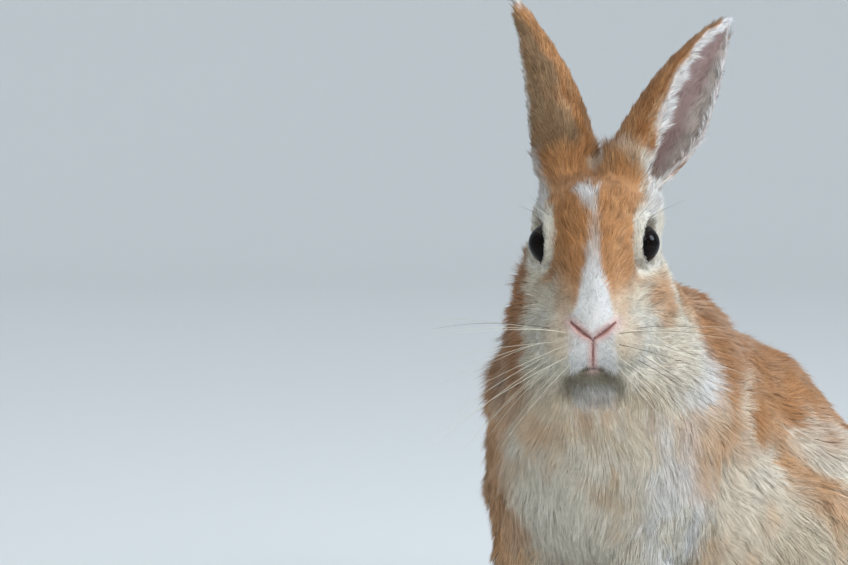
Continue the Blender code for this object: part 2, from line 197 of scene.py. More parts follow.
# Colours
WHITE = (0.75, 0.75, 0.74)
PALE = (0.76, 0.71, 0.60)
CREAM = (0.74, 0.66, 0.52)
BEIGE = (0.21, 0.145, 0.085)
FAWN = (0.62, 0.41, 0.24)
ORANGE = (0.545, 0.275, 0.115)
# orange darkened towards DEEP, as painted shade
SHADED_ORANGE = (0.37075, 0.1645, 0.05975)
DEEP = (0.34, 0.145, 0.05)
# painted shade
SHADED = (0.21, 0.18, 0.12)
EAR_PINK = (0.34, 0.235, 0.22)
EAR_FRINGE = (0.7465, 0.7185, 0.663)
FLUSHED = (0.72, 0.50, 0.46)
NOSE_PINK = (0.58, 0.33, 0.30)
# darker in the nostrils and cleft: partly the nose's own colour, partly painted shade in the slits
NOSE_DEEP = (0.20, 0.08, 0.07)
# painted shadow in the mouth's line
MOUTH_SHADOW = (0.05, 0.03, 0.028)
LID_DARK = (0.06, 0.035, 0.03)
PUPIL = (0.002, 0.0015, 0.0015)
IRIS = (0.006, 0.0025, 0.002)
PALE_HAIR = (0.80, 0.74, 0.60)
DARK_HAIR = (0.10, 0.065, 0.045)
CLAW_COLOUR = (0.36, 0.27, 0.20)
ROOT_TONE = (0.74, 0.69, 0.65)
MIDDLE_TONE = (0.95, 0.93, 0.91)
TIP_TONE = (1.10, 1.11, 1.13)

# The white blaze: half its width at heights on the face
BLAZE_HEIGHTS = (-34.0, -28.0, -20.0, -14.0, -8.0, 0.0, 8.0, 14.0)
BLAZE_WIDTHS = (9.2, 8.6, 6.0, 3.5, 2.1, 1.4, 1.0, 0.8)

# Toes, as the middle of a foot from the rabbit's middle, and the step from toe to toe
FORE_TOES = (28.0, 4.8)
HIND_TOES = (59.0, 5.5)
CLAW_LENGTH = 6.7

# The camera
CAMERA_AZIMUTH = math.radians(35.5)
CAMERA_ELEVATION = math.radians(3.0)
CAMERA_DISTANCE = 1.4
CAMERA_WIDTH = 0.3672  # of the picture at that distance
CAMERA_ASIDE = 0.0736  # of the picture's middle from the eyes
CAMERA_BELOW = 0.0168

# Soft lights: steps right, towards the camera and up from the picture's middle, then size, power and colour
LIGHTS = (
    ("key", (0.9, 1.2, 1.0), 1.0, 12, (1.0, 0.97, 0.93)),
    ("fill", (-0.3, 1.5, 0.15), 1.4, 4.0, (1.0, 0.95, 0.87)),
    ("window", (1.6, 0.1, 0.7), 0.62, 14, (0.74, 0.84, 1.0)),
)


# ---- frames and small mathematics


def box_centre(node):
    low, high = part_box(node)
    return (low + high) / 2


def head_frame():
    """From the head's frame, in millimetres, to the row frame, in metres."""
    left, right = box_centre("eye_left"), box_centre("eye_right")
    x = (left - right).normalized()
    y = Vector((0, 0, 1)).cross(x)
    turn = Matrix((x, y, Vector((0, 0, 1)))).transposed()
    return Matrix.Translation((left + right) / 2) @ (turn * MM).to_4x4()


HEAD = head_frame()
HEAD_TURN = np.array(HEAD.to_3x3()) / MM
HEAD_PLACE = np.array(HEAD.translation)
EYE_OFFSET = (box_centre("eye_left") - box_centre("eye_right")).length / 2 / MM


def to_head(points):
    """Points of the row frame, in metres, in the head's frame, in millimetres."""
    return (points - HEAD_PLACE) @ HEAD_TURN / MM


def from_head(places):
    """Places of the head's frame, in millimetres, in the row frame, in metres."""
    return places * MM @ HEAD_TURN.T + HEAD_PLACE


def smooth(low, high, value):
    """0 below low, 1 above high, and an even curve between them."""
    share = np.clip((value - low) / (high - low), 0, 1)
    return share * share * (3 - 2 * share)


def blend(first, second, share):
    """first where share is 0, second where it is 1."""
    return first * (1 - share) + second * share


def dots(a, b):
    return np.einsum("ij,ij->i", a, b)


def unit(vectors):
    return vectors / np.maximum(np.linalg.norm(vectors, axis=-1, keepdims=True), 1e-9)


def distance(places, point):
    return np.linalg.norm(places - np.array(point), axis=1)


def soft_min(a, b, width):
    overlap = np.maximum(width - np.abs(a - b), 0) / width
    return np.minimum(a, b) - overlap**2 * width / 4


def soft_max(a, b, width):
    return -soft_min(-a, -b, width)


def lattice_quads(index):
    """Quads between the rows and columns of a lattice of vertex numbers."""
    corners = [index[:-1, :-1], index[:-1, 1:], index[1:, 1:], index[1:, :-1]]
    return np.stack(corners, axis=-1).reshape(-1, 4)


def tube_quads(rings, sides, first=0):
    """Quads between rings of vertices that each close on themselves."""
    index = first + np.arange(rings * sides).reshape(rings, sides)
    return lattice_quads(np.concatenate([index, index[:, :1]], axis=1))


def turned_over(quads):
    """The same quads, each seen from its other side."""
    return quads[:, (0, 3, 2, 1)]


# ---- arrays from meshes and back


def column_values(elements, key, width, kind=np.float32):
    """One property of all the elements of a mesh, with a row for each."""
    values = np.zeros(len(elements) * width, kind)
    elements.foreach_get(key, values)
    return values.reshape(-1, width)


def vertex_array(mesh):
    return column_values(mesh.vertices, "co", 3).astype(float)


def normal_array(mesh):
    return column_values(mesh.vertex_normals, "vector", 3).astype(float)


def edge_array(mesh):
    return column_values(mesh.edges, "vertices", 2, np.int32)


def triangle_array(mesh):
    mesh.calc_loop_triangles()
    return column_values(mesh.loop_triangles, "vertices", 3, np.int32)


def move_vertices(mesh, points):
    mesh.vertices.foreach_set("co", points.astype(np.float32).ravel())
    mesh.update()


def built(name, places, faces):
    """A mesh from arrays of places in metres and of faces that all have the same number of corners."""
    mesh = bpy.data.meshes.new(name)
    mesh.vertices.add(len(places))
    mesh.vertices.foreach_set("co", places.astype(np.float32).ravel())
    mesh.loops.add(faces.size)
    mesh.loops.foreach_set("vertex_index", faces.astype(np.int32).ravel())
    mesh.polygons.add(len(faces))
    mesh.polygons.foreach_set("loop_start", np.arange(0, faces.size, faces.shape[1], dtype=np.int32))
    mesh.update(calc_edges=True)
    return mesh


def write_colour(mesh, colours):
    layer = mesh.attributes.new("coat", "FLOAT_COLOR", "POINT")
    solid = np.concatenate([colours, np.ones((len(colours), 1))], axis=1)
    layer.data.foreach_set("color", solid.astype(np.float32).ravel())


def write_map(mesh, places):
    layer = mesh.uv_layers.new(name="OFBake")
    layer.data.foreach_set("uv", places.astype(np.float32).ravel())


def placed(name, mesh):
    made = bpy.data.objects.new(name, mesh)
    bpy.context.scene.collection.objects.link(made)
    return made


def neighbour_mean(values, edges):
    """Each vertex's mean over the vertices that share an edge with it."""
    ends = np.concatenate([edges[:, 0], edges[:, 1]])
    others = np.concatenate([edges[:, 1], edges[:, 0]])
    count = np.maximum(np.bincount(ends, minlength=len(values)), 1)
    columns = [np.bincount(ends, values[others, k], len(values)) / count for k in range(values.shape[1])]
    return np.stack(columns, axis=1)


# ---- the volume that the skin is drawn from

LOW = np.array(cad_low) / MM - MARGIN
SHAPE = tuple(int(math.ceil(side)) for side in (np.array(cad_high - cad_low) / MM + 2 * MARGIN) / VOXEL)
WHOLE = (0, 0, 0), SHAPE


def cells_of(points):
    """Row-frame metres in the volume's cells."""
    return (points / MM - LOW) / VOXEL


def points_of(cells):
    """The volume's cells in row-frame metres."""
    return (cells * VOXEL + LOW) * MM


def node_surface(name):
    mesh = frame["nodes"][name].data
    points = cells_of(column_values(mesh.vertices, "co", 3))
    return points.astype(np.float32), triangle_array(mesh).astype(np.uint32)


def depth_field(points, faces, reach, corner, shape):
    """Signed distance in millimetres, over a block of cells, to a closed surface given in cells."""
    keyword = {"triangles" if faces.shape[1] == 3 else "quads": faces}
    grid = openvdb.FloatGrid.createLevelSetFromPolygons(points, halfWidth=reach, **keyword)
    values = np.empty(shape, np.float32)
    grid.copyToArray(values, ijk=tuple(int(i) for i in corner))
    return values * VOXEL


def union_of(names):
    """Signed distance to the nearest of some nodes, and which of them it is."""
    total = np.full(SHAPE, NEAR_REACH * VOXEL, np.float32)
    nearest = np.zeros(SHAPE, np.uint8)
    for number, name in enumerate(names):
        points, faces = node_surface(name)
        first = np.floor(points.min(0)).astype(int) - SPARE_CELLS
        last = np.ceil(points.max(0)).astype(int) + SPARE_CELLS
        values = depth_field(points, faces, NEAR_REACH, first, tuple(last - first))
        block = tuple(slice(a, b) for a, b in zip(first, last))
        closer = values < total[block]
        total[block][closer] = values[closer]
        nearest[block][closer] = number
    return total, nearest


def surface_of(values):
    grid = openvdb.FloatGrid(float(values.max()))
    grid.copyFromArray(values)
    points, _, quads = grid.convertToPolygons(isovalue=0.0)
    return points, quads


def box_blur(values, radius, passes):
    """Each cell becomes the mean of the cube of cells round it."""
    width = 2 * radius + 1
    for _ in range(passes):
        for axis in range(3):
            padding = [(radius + 1, radius) if k == axis else (0, 0) for k in range(3)]
            run = np.cumsum(np.pad(values, padding, mode="edge"), axis=axis, dtype=np.float32)
            upper = [slice(width, None) if k == axis else slice(None) for k in range(3)]
            lower = [slice(0, -width) if k == axis else slice(None) for k in range(3)]
            values = (run[tuple(upper)] - run[tuple(lower)]) / width
    return values


def coat_depth(nearest, inside):
    """The depth of the coat in each cell of the flesh: by region, less on the paws, nose and ear roots."""
    depth = np.array([COAT_DEPTH[name.split("_")[0]] for name in FLESH], np.float32)[nearest]
    heights = LOW[2] + VOXEL * np.arange(SHAPE[2])
    lower_leg = np.isin(nearest, [k for k, name in enumerate(FLESH) if "leg" in name])
    leg_depth = PAW_DEPTH + (depth - PAW_DEPTH) * smooth(PAW_TOP, LEG_TOP, heights)
    depth = np.where(lower_leg, leg_depth, depth)
    head = np.nonzero(inside & (nearest == FLESH.index("head")))
    places = to_head(points_of(np.stack(head, axis=1)))
    from_nose = distance(places, NOSE_TIP)
    far = smooth(9, 30, from_nose) + 1.4 * smooth(45, 90, from_nose)
    for ear in EAR_SHAPES.values():
        far = np.minimum(far, smooth(9, 22, distance(places, ear["ridge"][0])))
    depth[head] = BARE_DEPTH + (depth[head] - BARE_DEPTH) * far
    weight = inside.astype(np.float32)
    return box_blur(depth * weight, **DEPTH_BLUR) / np.maximum(box_blur(weight, **DEPTH_BLUR), 1e-3)


def flesh_volume(outline, nearest):
    """Signed distance to the skin of all but the ears."""
    points, faces = surface_of(outline - CLOSING)
    outline = depth_field(points, faces, FAR_REACH, *WHOLE) + CLOSING
    volume = outline + coat_depth(nearest, outline < 1.0)
    return box_blur(volume, **SKIN_BLUR)


# ---- ears


def ridge_at(ear, share):
    """Points on the bent back ridge of an ear, and the directions towards its tip."""
    base, bend, tip = (np.array(point) for point in ear["ridge"])
    share = np.asarray(share)[..., None]
    point = base * (1 - share) ** 2 + bend * 2 * share * (1 - share) + tip * share**2
    return point, unit((bend - base) * (1 - share) + (tip - bend) * share)


def ear_axes(ear, share):
    """A ridge point, the ways tipward, out of the ear and across, and its curl's radius and half angle."""
    point, tipward = ridge_at(ear, share)
    opening = np.array(ear["opening"])
    opening = unit(opening - tipward * (tipward @ opening)[..., None])
    half_width = ear["half_width"] * (1 - np.maximum(share, 0) ** 2.4) ** 0.9 + EAR_TIP_HALF_WIDTH
    curl = np.minimum(1.2 + 1.6 * np.abs(1 - share) ** 1.6, half_width / 6)
    return point, tipward, opening, np.cross(tipward, opening), half_width / curl, curl


def ear_surface(ear):
    """The ear as a closed sheet, its edges thinner than its middle."""
    rows, columns = 90, 48
    share = np.linspace(-0.14, 1.0, rows + 1)
    point, _, opening, aside, radius, curl = ear_axes(ear, share)
    across = np.linspace(-1, 1, columns + 1)
    angle = curl[:, None] * across
    inward = opening[:, None] * np.cos(angle)[..., None] - aside[:, None] * np.sin(angle)[..., None]
    centre = (point + opening * radius[:, None])[:, None]
    middle = centre - inward * radius[:, None, None]
    half = EAR_SKIN / 2 * (1 - 0.35 * np.abs(across) ** 3)[None, :, None]
    sides = np.concatenate([middle + inward * half, middle - inward * half]).reshape(-1, 3)
    index = np.arange((rows + 1) * (columns + 1)).reshape(rows + 1, columns + 1)
    inner = lattice_quads(index)
    outer = inner[:, ::-1] + index.size
    rim = np.concatenate([index[:, 0], index[-1, 1:], index[-2::-1, -1], index[0, -2:0:-1]])
    onward = np.roll(rim, -1)
    edge = np.stack([rim, onward, onward + index.size, rim + index.size], axis=-1)
    return sides, np.concatenate([inner, outer, edge])


def ear_volume():
    """Signed distance to both ears."""
    total = np.full(SHAPE, FAR_REACH * VOXEL, np.float32)
    for ear in EAR_SHAPES.values():
        sides, faces = ear_surface(ear)
        cells = cells_of(from_head(sides)).astype(np.float32)
        total = np.minimum(total, depth_field(cells, faces.astype(np.uint32), FAR_REACH, *WHOLE))
    return total


def ear_coordinates(ear, places):
    """How far up the ear each place is, how far across, and how far out: below 0 on the hollow side."""
    share = np.full(len(places), 0.5)
    length = np.linalg.norm(np.diff(np.array(ear["ridge"]), axis=0), axis=1).sum()
    for _ in range(12):
        point, tipward = ridge_at(ear, share)
        share = np.clip(share + dots(places - point, tipward) / length, -0.2, 1.0)
    point, _, opening, aside, radius, curl = ear_axes(ear, share)
    offset = places - point - opening * radius[:, None]
    up, over = dots(offset, -opening), dots(offset, aside)
    return share, np.arctan2(over, up) / curl, np.hypot(up, over) - radius


# ---- eyes


def eye_centre(side):
    return np.array((side * EYE_OFFSET, 0, 0))


def eye_frame(side):
    """An eye's centre, the way that it looks, and the ways up and forward across it, in the head's frame."""
    gaze = Vector((side * math.cos(GAZE_FORWARD), -math.sin(GAZE_FORWARD), math.sin(GAZE_UP))).normalized()
    forward = (Vector((0, -1, 0)) + gaze * gaze.y).normalized()
    up = forward.cross(gaze) * side
    return eye_centre(side), np.array(gaze), np.array(up), np.array(forward)


def lid_opening(places, side):
    """Below 0 where an open eye shows: outside a plane that the upper and lower lids come forward of."""
    centre, gaze, up, forward = eye_frame(side)
    offset = places - centre
    height = offset @ up / EYE_RADIUS
    along = offset @ forward / EYE_RADIUS
    plane = LID_PLANE + 0.5 * height**2 + 0.5 * np.maximum(height, 0) - 0.6 * along**2
    return plane - offset @ gaze


def with_eyelids(volume):
    """Lids drawn closely over each eyeball, with the opening cut through them."""
    half = int(2.2 * EYE_RADIUS / VOXEL)
    for side in (1, -1):
        middle = np.round(cells_of(np.array(HEAD @ Vector(eye_centre(side))))).astype(int)
        block = tuple(slice(m - half, m + half) for m in middle)
        steps = np.stack(np.mgrid[block], axis=-1)
        places = to_head(points_of(steps.reshape(-1, 3)))
        away = distance(places, eye_centre(side))
        flesh = volume[block].reshape(-1)
        lids = soft_min(flesh, away - EYE_RADIUS - LID_THICKNESS, LID_JOIN)
        opening = soft_max(lid_opening(places, side), away - EYE_RADIUS - LID_CUT, CUT_JOIN)
        lids = soft_max(lids, -opening, LID_EDGE)
        lids = np.maximum(lids, EYE_RADIUS + LID_GAP - away)
        volume[block] = lids.reshape(volume[block].shape)
    return volume


def eye_globe(side):
    """An eyeball with a clear bulge over its dark, wide pupil."""
    centre, gaze, up, forward = eye_frame(side)
    rings, spokes = 41, 56
    polar = np.linspace(0, np.pi, rings)[:, None]
    round_it = np.linspace(0, 2 * np.pi, spokes, endpoint=False)[None]
    radius = EYE_RADIUS + EYE_BULGE * smooth(0.95, 0.0, polar)
    axis = np.cos(polar)[..., None] * gaze
    flat = np.cos(round_it)[..., None] * up + np.sin(round_it)[..., None] * forward
    places = centre + (axis + np.sin(polar)[..., None] * flat) * radius[..., None]
    faces = turned_over(tube_quads(rings, spokes))
    if side > 0:
        faces = faces[:, ::-1]
    mesh = built("eye", from_head(places.reshape(-1, 3)), faces)
    angle = np.repeat(polar.ravel(), spokes)
    iris = smooth(0.52, 0.60, angle) * smooth(1.15, 0.95, angle)
    streaks = 0.7 + 0.3 * np.sin(np.tile(round_it.ravel(), rings) * 22)
    write_colour(mesh, mixed(iris * streaks, plain(PUPIL, angle), np.array(IRIS)))
    mesh.shade_smooth()
    return mesh


# ---- the skin's mesh


def evened(mesh):
    """Takes the steps of the cells out of a surface without shrinking it."""
    points, edges = vertex_array(mesh), edge_array(mesh)
    for _ in range(EVENING_ROUNDS):
        for share in (0.5, -0.53):
            points += (neighbour_mean(points, edges) - points) * share
    move_vertices(mesh, points)


def thinned(mesh):
    """The same surface with about as many triangles as the skin may have."""
    carrier = placed("carrier", mesh)
    fewer = carrier.modifiers.new("fewer", "DECIMATE")
    fewer.ratio = SKIN_TRIANGLES / len(triangle_array(mesh))
    view = bpy.context.evaluated_depsgraph_get()
    made = bpy.data.meshes.new_from_object(carrier.evaluated_get(view))
    bpy.data.objects.remove(carrier)
    bpy.data.meshes.remove(mesh)
    return made


def refined_muzzle(mesh):
    """Finer faces where the nostrils and lips are cut."""
    form = bmesh.new()
    form.from_mesh(mesh)
    bmesh.ops.triangulate(form, faces=form.faces)
    inverse = HEAD.inverted()
    chosen = set()
    for face in form.faces:
        place = inverse @ face.calc_center_median()
        if place.y < -22 and -62 < place.z < -26 and abs(place.x) < 15:
            chosen.update(face.edges)
    bmesh.ops.subdivide_edges(form, edges=list(chosen), cuts=3, use_grid_fill=True)
    bmesh.ops.triangulate(form, faces=form.faces)
    form.to_mesh(mesh)
    form.free()


def distance_to_line(across, height, line):
    """Distance to a chain of points, across and up, and how far along the chain the nearest is."""
    best = np.full(len(across), 1e3)
    along = np.zeros(len(across))
    places = np.stack([across, height], axis=1)
    for k, (start, end) in enumerate(zip(line, line[1:])):
        start, end = np.array(start), np.array(end)
        step = end - start
        share = np.clip((places - start) @ step / (step @ step), 0, 1)
        away = np.linalg.norm(places - start - share[:, None] * step, axis=1)
        closer = away < best
        best[closer] = away[closer]
        along[closer] = (k + share[closer]) / (len(line) - 1)
    return best, along


def muzzle_cuts(places):
    """How near each place is to the nostrils, to the cleft under the nose and to the mouth: 1 on the line."""
    across, height = np.abs(places[:, 0]), places[:, 2]
    front = smooth(-20, -28, places[:, 1])
    nostril, along = distance_to_line(across, height, NOSTRIL_LINE)
    cleft, _ = distance_to_line(across, height, CLEFT_LINE)
    mouth, _ = distance_to_line(across, height, MOUTH_LINE)
    nostril_width = 0.45 + 0.55 * np.sin(np.pi * along) ** 2
    cuts = ((nostril, nostril_width), (cleft, 0.45), (mouth, 0.6))
    return [np.exp(-((away / width) ** 2)) * front for away, width in cuts]


def mould_muzzle(mesh):
    """Cuts the nostrils, cleft and mouth into the muzzle, and rounds the lips and the end of the nose."""
    points, normals = vertex_array(mesh), normal_array(mesh)
    places = to_head(points)
    nostril, cleft, mouth = muzzle_cuts(places)
    rise = -1.5 * nostril - 0.9 * cleft - 0.9 * mouth
    for across, height, radius, swelling in SWELLINGS:
        near = np.hypot(np.abs(places[:, 0]) - across, places[:, 2] - height) / radius
        rise += swelling * np.exp(-(near**2)) * smooth(-22, -30, places[:, 1])
    move_vertices(mesh, points + normals * (rise * MM)[:, None])


def skin_mesh(volume):
    points, quads = surface_of(volume)
    mesh = bpy.data.meshes.new("rough_skin")
    mesh.from_pydata(points_of(points).tolist(), [], quads.tolist())
    evened(mesh)
    mesh = thinned(mesh)
    refined_muzzle(mesh)
    mould_muzzle(mesh)
    mesh.name = "skin"
    mesh.shade_smooth()
    return mesh


def unwrapped(thing):
    """An unwrap of the thing's own shape."""
    thing.data.uv_layers.new(name="OFBake")
    bpy.context.view_layer.objects.active = thing
    for other in bpy.context.scene.objects:
        other.select_set(other == thing)
    bpy.ops.object.mode_set(mode="EDIT")
    bpy.ops.mesh.select_all(action="SELECT")
    bpy.ops.uv.smart_project(angle_limit=1.15, island_margin=0.003)
    bpy.ops.object.mode_set(mode="OBJECT")


# ---- regions of the skin


def sampled(volume, points):
    cells = np.clip(np.round(cells_of(points)).astype(int), 0, np.array(SHAPE) - 1)
    return volume[cells[:, 0], cells[:, 1], cells[:, 2]]


def regions(points, nearest, ears):
    """For each vertex, how far it belongs to each node of flesh and to the ears, from 0 to 1."""
    label = sampled(nearest, points)
    on_ear = sampled(ears, points) < 1.2
    found = {name: ((label == k) & ~on_ear).astype(float) for k, name in enumerate(FLESH)}
    places = to_head(points)
    closeness, above = [], []
    for ear in EAR_SHAPES.values():
        share, _, _ = ear_coordinates(ear, places)
        middle, _ = ridge_at(ear, np.clip(share, 0, 1))
        closeness.append(np.linalg.norm(places - middle, axis=1))
        above.append(smooth(-0.02, 0.15, share))
    for k, name in enumerate(EARS):
        found[name] = (on_ear & (closeness[k] <= closeness[1 - k])) * above[k]
    found["head"] += on_ear * (1 - found["ear_left"] - found["ear_right"])
    return found


def blended_regions(found, edges):
    """The same with the borders between the nodes of flesh made soft."""
    blended = {name: found[name] for name in EARS}
    shares = np.stack([found[name] for name in FLESH], axis=1)
    for _ in range(SOFTENING_ROUNDS):
        shares = neighbour_mean(shares, edges)
    on_ears = sum(blended.values())
    shares *= ((1 - on_ears) / np.maximum(shares.sum(1), 1e-3))[:, None]
    blended.update({name: shares[:, k] for k, name in enumerate(FLESH)})
    return blended


# ---- colour


def mixed(share, first, second):
    """Colours between first, where share is 0, and second, where it is 1."""
    return first + (second - first) * np.broadcast_to(share, len(first))[:, None]


def plain(colour, places):
    """One colour at all of some places."""
    return np.tile(np.array(colour), (len(places), 1))


def painted(colour, *layers):
    """Colours under layers, each of one colour and how much of it shows at each place."""
    for over, share in layers:
        colour = mixed(np.clip(share, 0, 1), colour, np.array(over))
    return colour


def ripple(points, wavelength, seed):
    """Smooth, even noise between about -1 and 1, from waves in many directions."""
    source = np.random.default_rng(seed)
    total = np.zeros(len(points))
    for _ in range(10):
        direction = unit(source.normal(size=3)) * 2 * np.pi / wavelength * source.uniform(0.6, 1.6)
        total += np.sin(points @ direction + source.uniform(0, 2 * np.pi))
    return total / 3.2


def ellipse(places, centre, radii, softness=0.35):
    """1 inside an ellipsoid, 0 outside, soft between."""
    near = np.linalg.norm((places - np.array(centre)) / np.array(radii), axis=1)
    return smooth(1 + softness, 1 - softness, near)


def cap_markings(colour, places, wobble, fine):
    """Orange over the forehead, crown and cheeks, with painted shade darkening the rabbit's right side."""
    across, back, height = places.T
    side = np.abs(across)
    forehead = smooth(21.5, 18.0, side + wobble) * smooth(-32, -14, height - 0.6 * (side - 9) + 2 * wobble)
    crown = smooth(14, 24, height + wobble) * smooth(24, 17, side - 0.6 * (back - 12) + wobble)
    cap = np.maximum(forehead, crown)
    fringe = smooth(4.5, 1.5, np.abs(side - 12.5 - 0.5 * wobble))
    fringe *= smooth(-38, -30, height) * smooth(-16, -24, height)
    behind = smooth(13, 20, back + 1.5 * wobble - 0.2 * (height + 20))
    cheek = ellipse(places, (28, -4, -23), (7.5, 13, 13)) * (across > 0)
    # the orange cheek on the rabbit's right side, painted darker as shade
    shaded_cheek = smooth(-23.5, -28, across + wobble) * smooth(-12, -2, back + wobble) * smooth(0, -8, height)
    # painted shade behind the cheek on the rabbit's right side
    shade = smooth(-16, -24, across) * smooth(4, 14, back) * smooth(2, -10, height)
    return painted(
        colour,
        (ORANGE, np.maximum(cap, 0.45 * fringe)),
        # paler over the forehead's left half: partly a paler coat, partly painted light
        (FAWN, 0.35 * forehead * smooth(0, 14, across) * smooth(-0.5, 0.8, fine)),
        # painted shade: the cap darker on the rabbit's right side
        (DEEP, 0.4 * cap * smooth(2, -10, across) * smooth(-0.6, 0.8, fine)),
        (ORANGE, 0.85 * behind * smooth(-60, -38, height)),
        (ORANGE, 0.75 * cheek),
        # the right cheek's orange, darkened by painted shade
        (SHADED_ORANGE, 0.95 * shaded_cheek),
        # painted shade behind the right cheek
        (DEEP, 0.5 * shade),
    )


def white_markings(colour, places, noise, wobble):
    """Pale rings round the eyes, white brows, the blaze down the face and the star at its top."""
    across, back, height = places.T
    side = np.abs(across)
    rings = np.hypot(back, height - 0.5)
    brow = smooth(19, 23, side + wobble) * smooth(8, 14, height) * smooth(36, 24, back)
    half_width = np.interp(height, BLAZE_HEIGHTS, BLAZE_WIDTHS)
    blaze = smooth(half_width + 1.3, half_width - 0.6, side + 0.7 * wobble)
    blaze *= smooth(8, 3, back) * smooth(20, 14, height)
    faint = np.interp(height, (-10, 0, 8, 18), (1.0, 0.55, 0.25, 0.3))
    star = smooth(1.15, 0.75, np.hypot((across + 2.8) / 4.6, (height - 19.6) / 5.7) + 0.1 * noise)
    tail = smooth(1.8, 0.8, np.abs(across + 0.12 * (height - 5)))
    tail *= smooth(7, 12, height) * smooth(22, 18, height)
    return painted(
        colour,
        (PALE, smooth(14.5, 11.5, rings + 0.6 * wobble) * smooth(16, 19, side)),
        (WHITE, 0.7 * brow),
        (WHITE, blaze * faint),
        (WHITE, np.maximum(star, 0.75 * tail) * smooth(24, 18, back)),
    )


def muzzle_markings(colour, places, noise, fine):
    """A white muzzle with fawn pads, painted shade under the lips and along the mouth, and pink round the
    nose.
    """
    across, back, height = places.T
    side = np.abs(across)
    muzzle = smooth(-6, -20, back) * smooth(-27, -33, height) * smooth(-62, -50, height)
    jowl = smooth(-24, -32, height) * smooth(30, 22, side) * smooth(12, 16, side) * smooth(-58, -50, height)
    pad = ellipse(np.stack([side, back, height], axis=1), (14, -34, -38), (6, 20, 9))
    shadow_under_lips = smooth(-50.0, -52.5, height + 0.02 * across**2) * smooth(2, -12, back) * smooth(17, 9, side)
    mouth_shade = smooth(5.5, 3, side) * smooth(2.4, 0.9, np.abs(height + 51.3)) * smooth(-24, -32, back)
    nostril, _ = distance_to_line(side, height, NOSTRIL_LINE)
    cleft, _ = distance_to_line(side, height, CLEFT_LINE)
    flush = np.maximum(smooth(4.5, 0.5, nostril), smooth(3.5, 0.5, cleft)) * smooth(-24, -32, back)
    return painted(
        colour,
        (PALE, 0.35 * muzzle),
        (WHITE, muzzle * smooth(15, 4, side + 1.2 * fine) * smooth(-54, -50, height)),
        (PALE, 0.8 * jowl),
        (FAWN, 0.35 * pad),
        # painted shade under the lips and along the mouth's line
        (SHADED, 0.95 * shadow_under_lips * smooth(-64, -57, height + 1.5 * noise)),
        (SHADED, 0.85 * mouth_shade),
        (FLUSHED, 0.8 * flush),
    )


def head_markings(places, noise, fine):
    """The coat's colour on the head, from places in the head's frame."""
    wobble = 1.2 * noise
    colour = cap_markings(plain(CREAM, places), places, wobble, fine)
    colour = white_markings(colour, places, noise, wobble)
    colour = muzzle_markings(colour, places, noise, fine)
    crest = ellipse(places, (1, 20, 29), (5, 9, 7))
    return painted(colour, (PALE, 0.5 * crest))


def ear_markings(name, places, noise, fine):
    """The coat's colour on an ear: orange behind, pale along the rims, and thin over pink skin inside."""
    share, across, hollow = ear_coordinates(EAR_SHAPES[name], places)
    left = name == "ear_left"
    streaks = ripple(np.stack([across * 0.9, share * 0.22, 0 * share], axis=1), 0.12, 6) + 0.5 * fine
    colour = painted(
        plain(ORANGE, places) * (0.82 if left else 1.0),
        (DEEP, (0.95 if left else 0.65) * smooth(-0.6, 0.3, streaks) * smooth(1.0, 0.6, share)),
        (FAWN, 0.6 * smooth(0.5, 1.2, streaks - 0.4 * fine)),
    )
    if left:
        colour = painted(colour, (PALE, smooth(0.16, 0.03, share) * smooth(-0.3, -0.6, across)))
    else:
        ragged = across + 0.15 * noise
        colour = painted(
            colour,
            (BEIGE, 0.8 * smooth(0.3, 0.6, ragged)),
            (FAWN, 0.6 * smooth(-0.15, -0.5, ragged) * smooth(-0.5, 0.5, streaks)),
        )
    rim = np.abs(across + 0.04 * noise)
    fringe = np.where(across < 0, 0.95 * smooth(0.35, 0.65, rim), 0.5 * smooth(0.5, 0.8, rim))
    lining = painted(plain(EAR_PINK, places), (EAR_FRINGE, fringe))
    return painted(
        mixed(smooth(0.35, -0.35, hollow), colour, lining),
        (WHITE, 0.65 * smooth(0.93, 0.99, rim) * smooth(0.1, 0.3, share)),
        (WHITE, smooth(0.93, 0.97, share + 0.01 * noise)),
    )


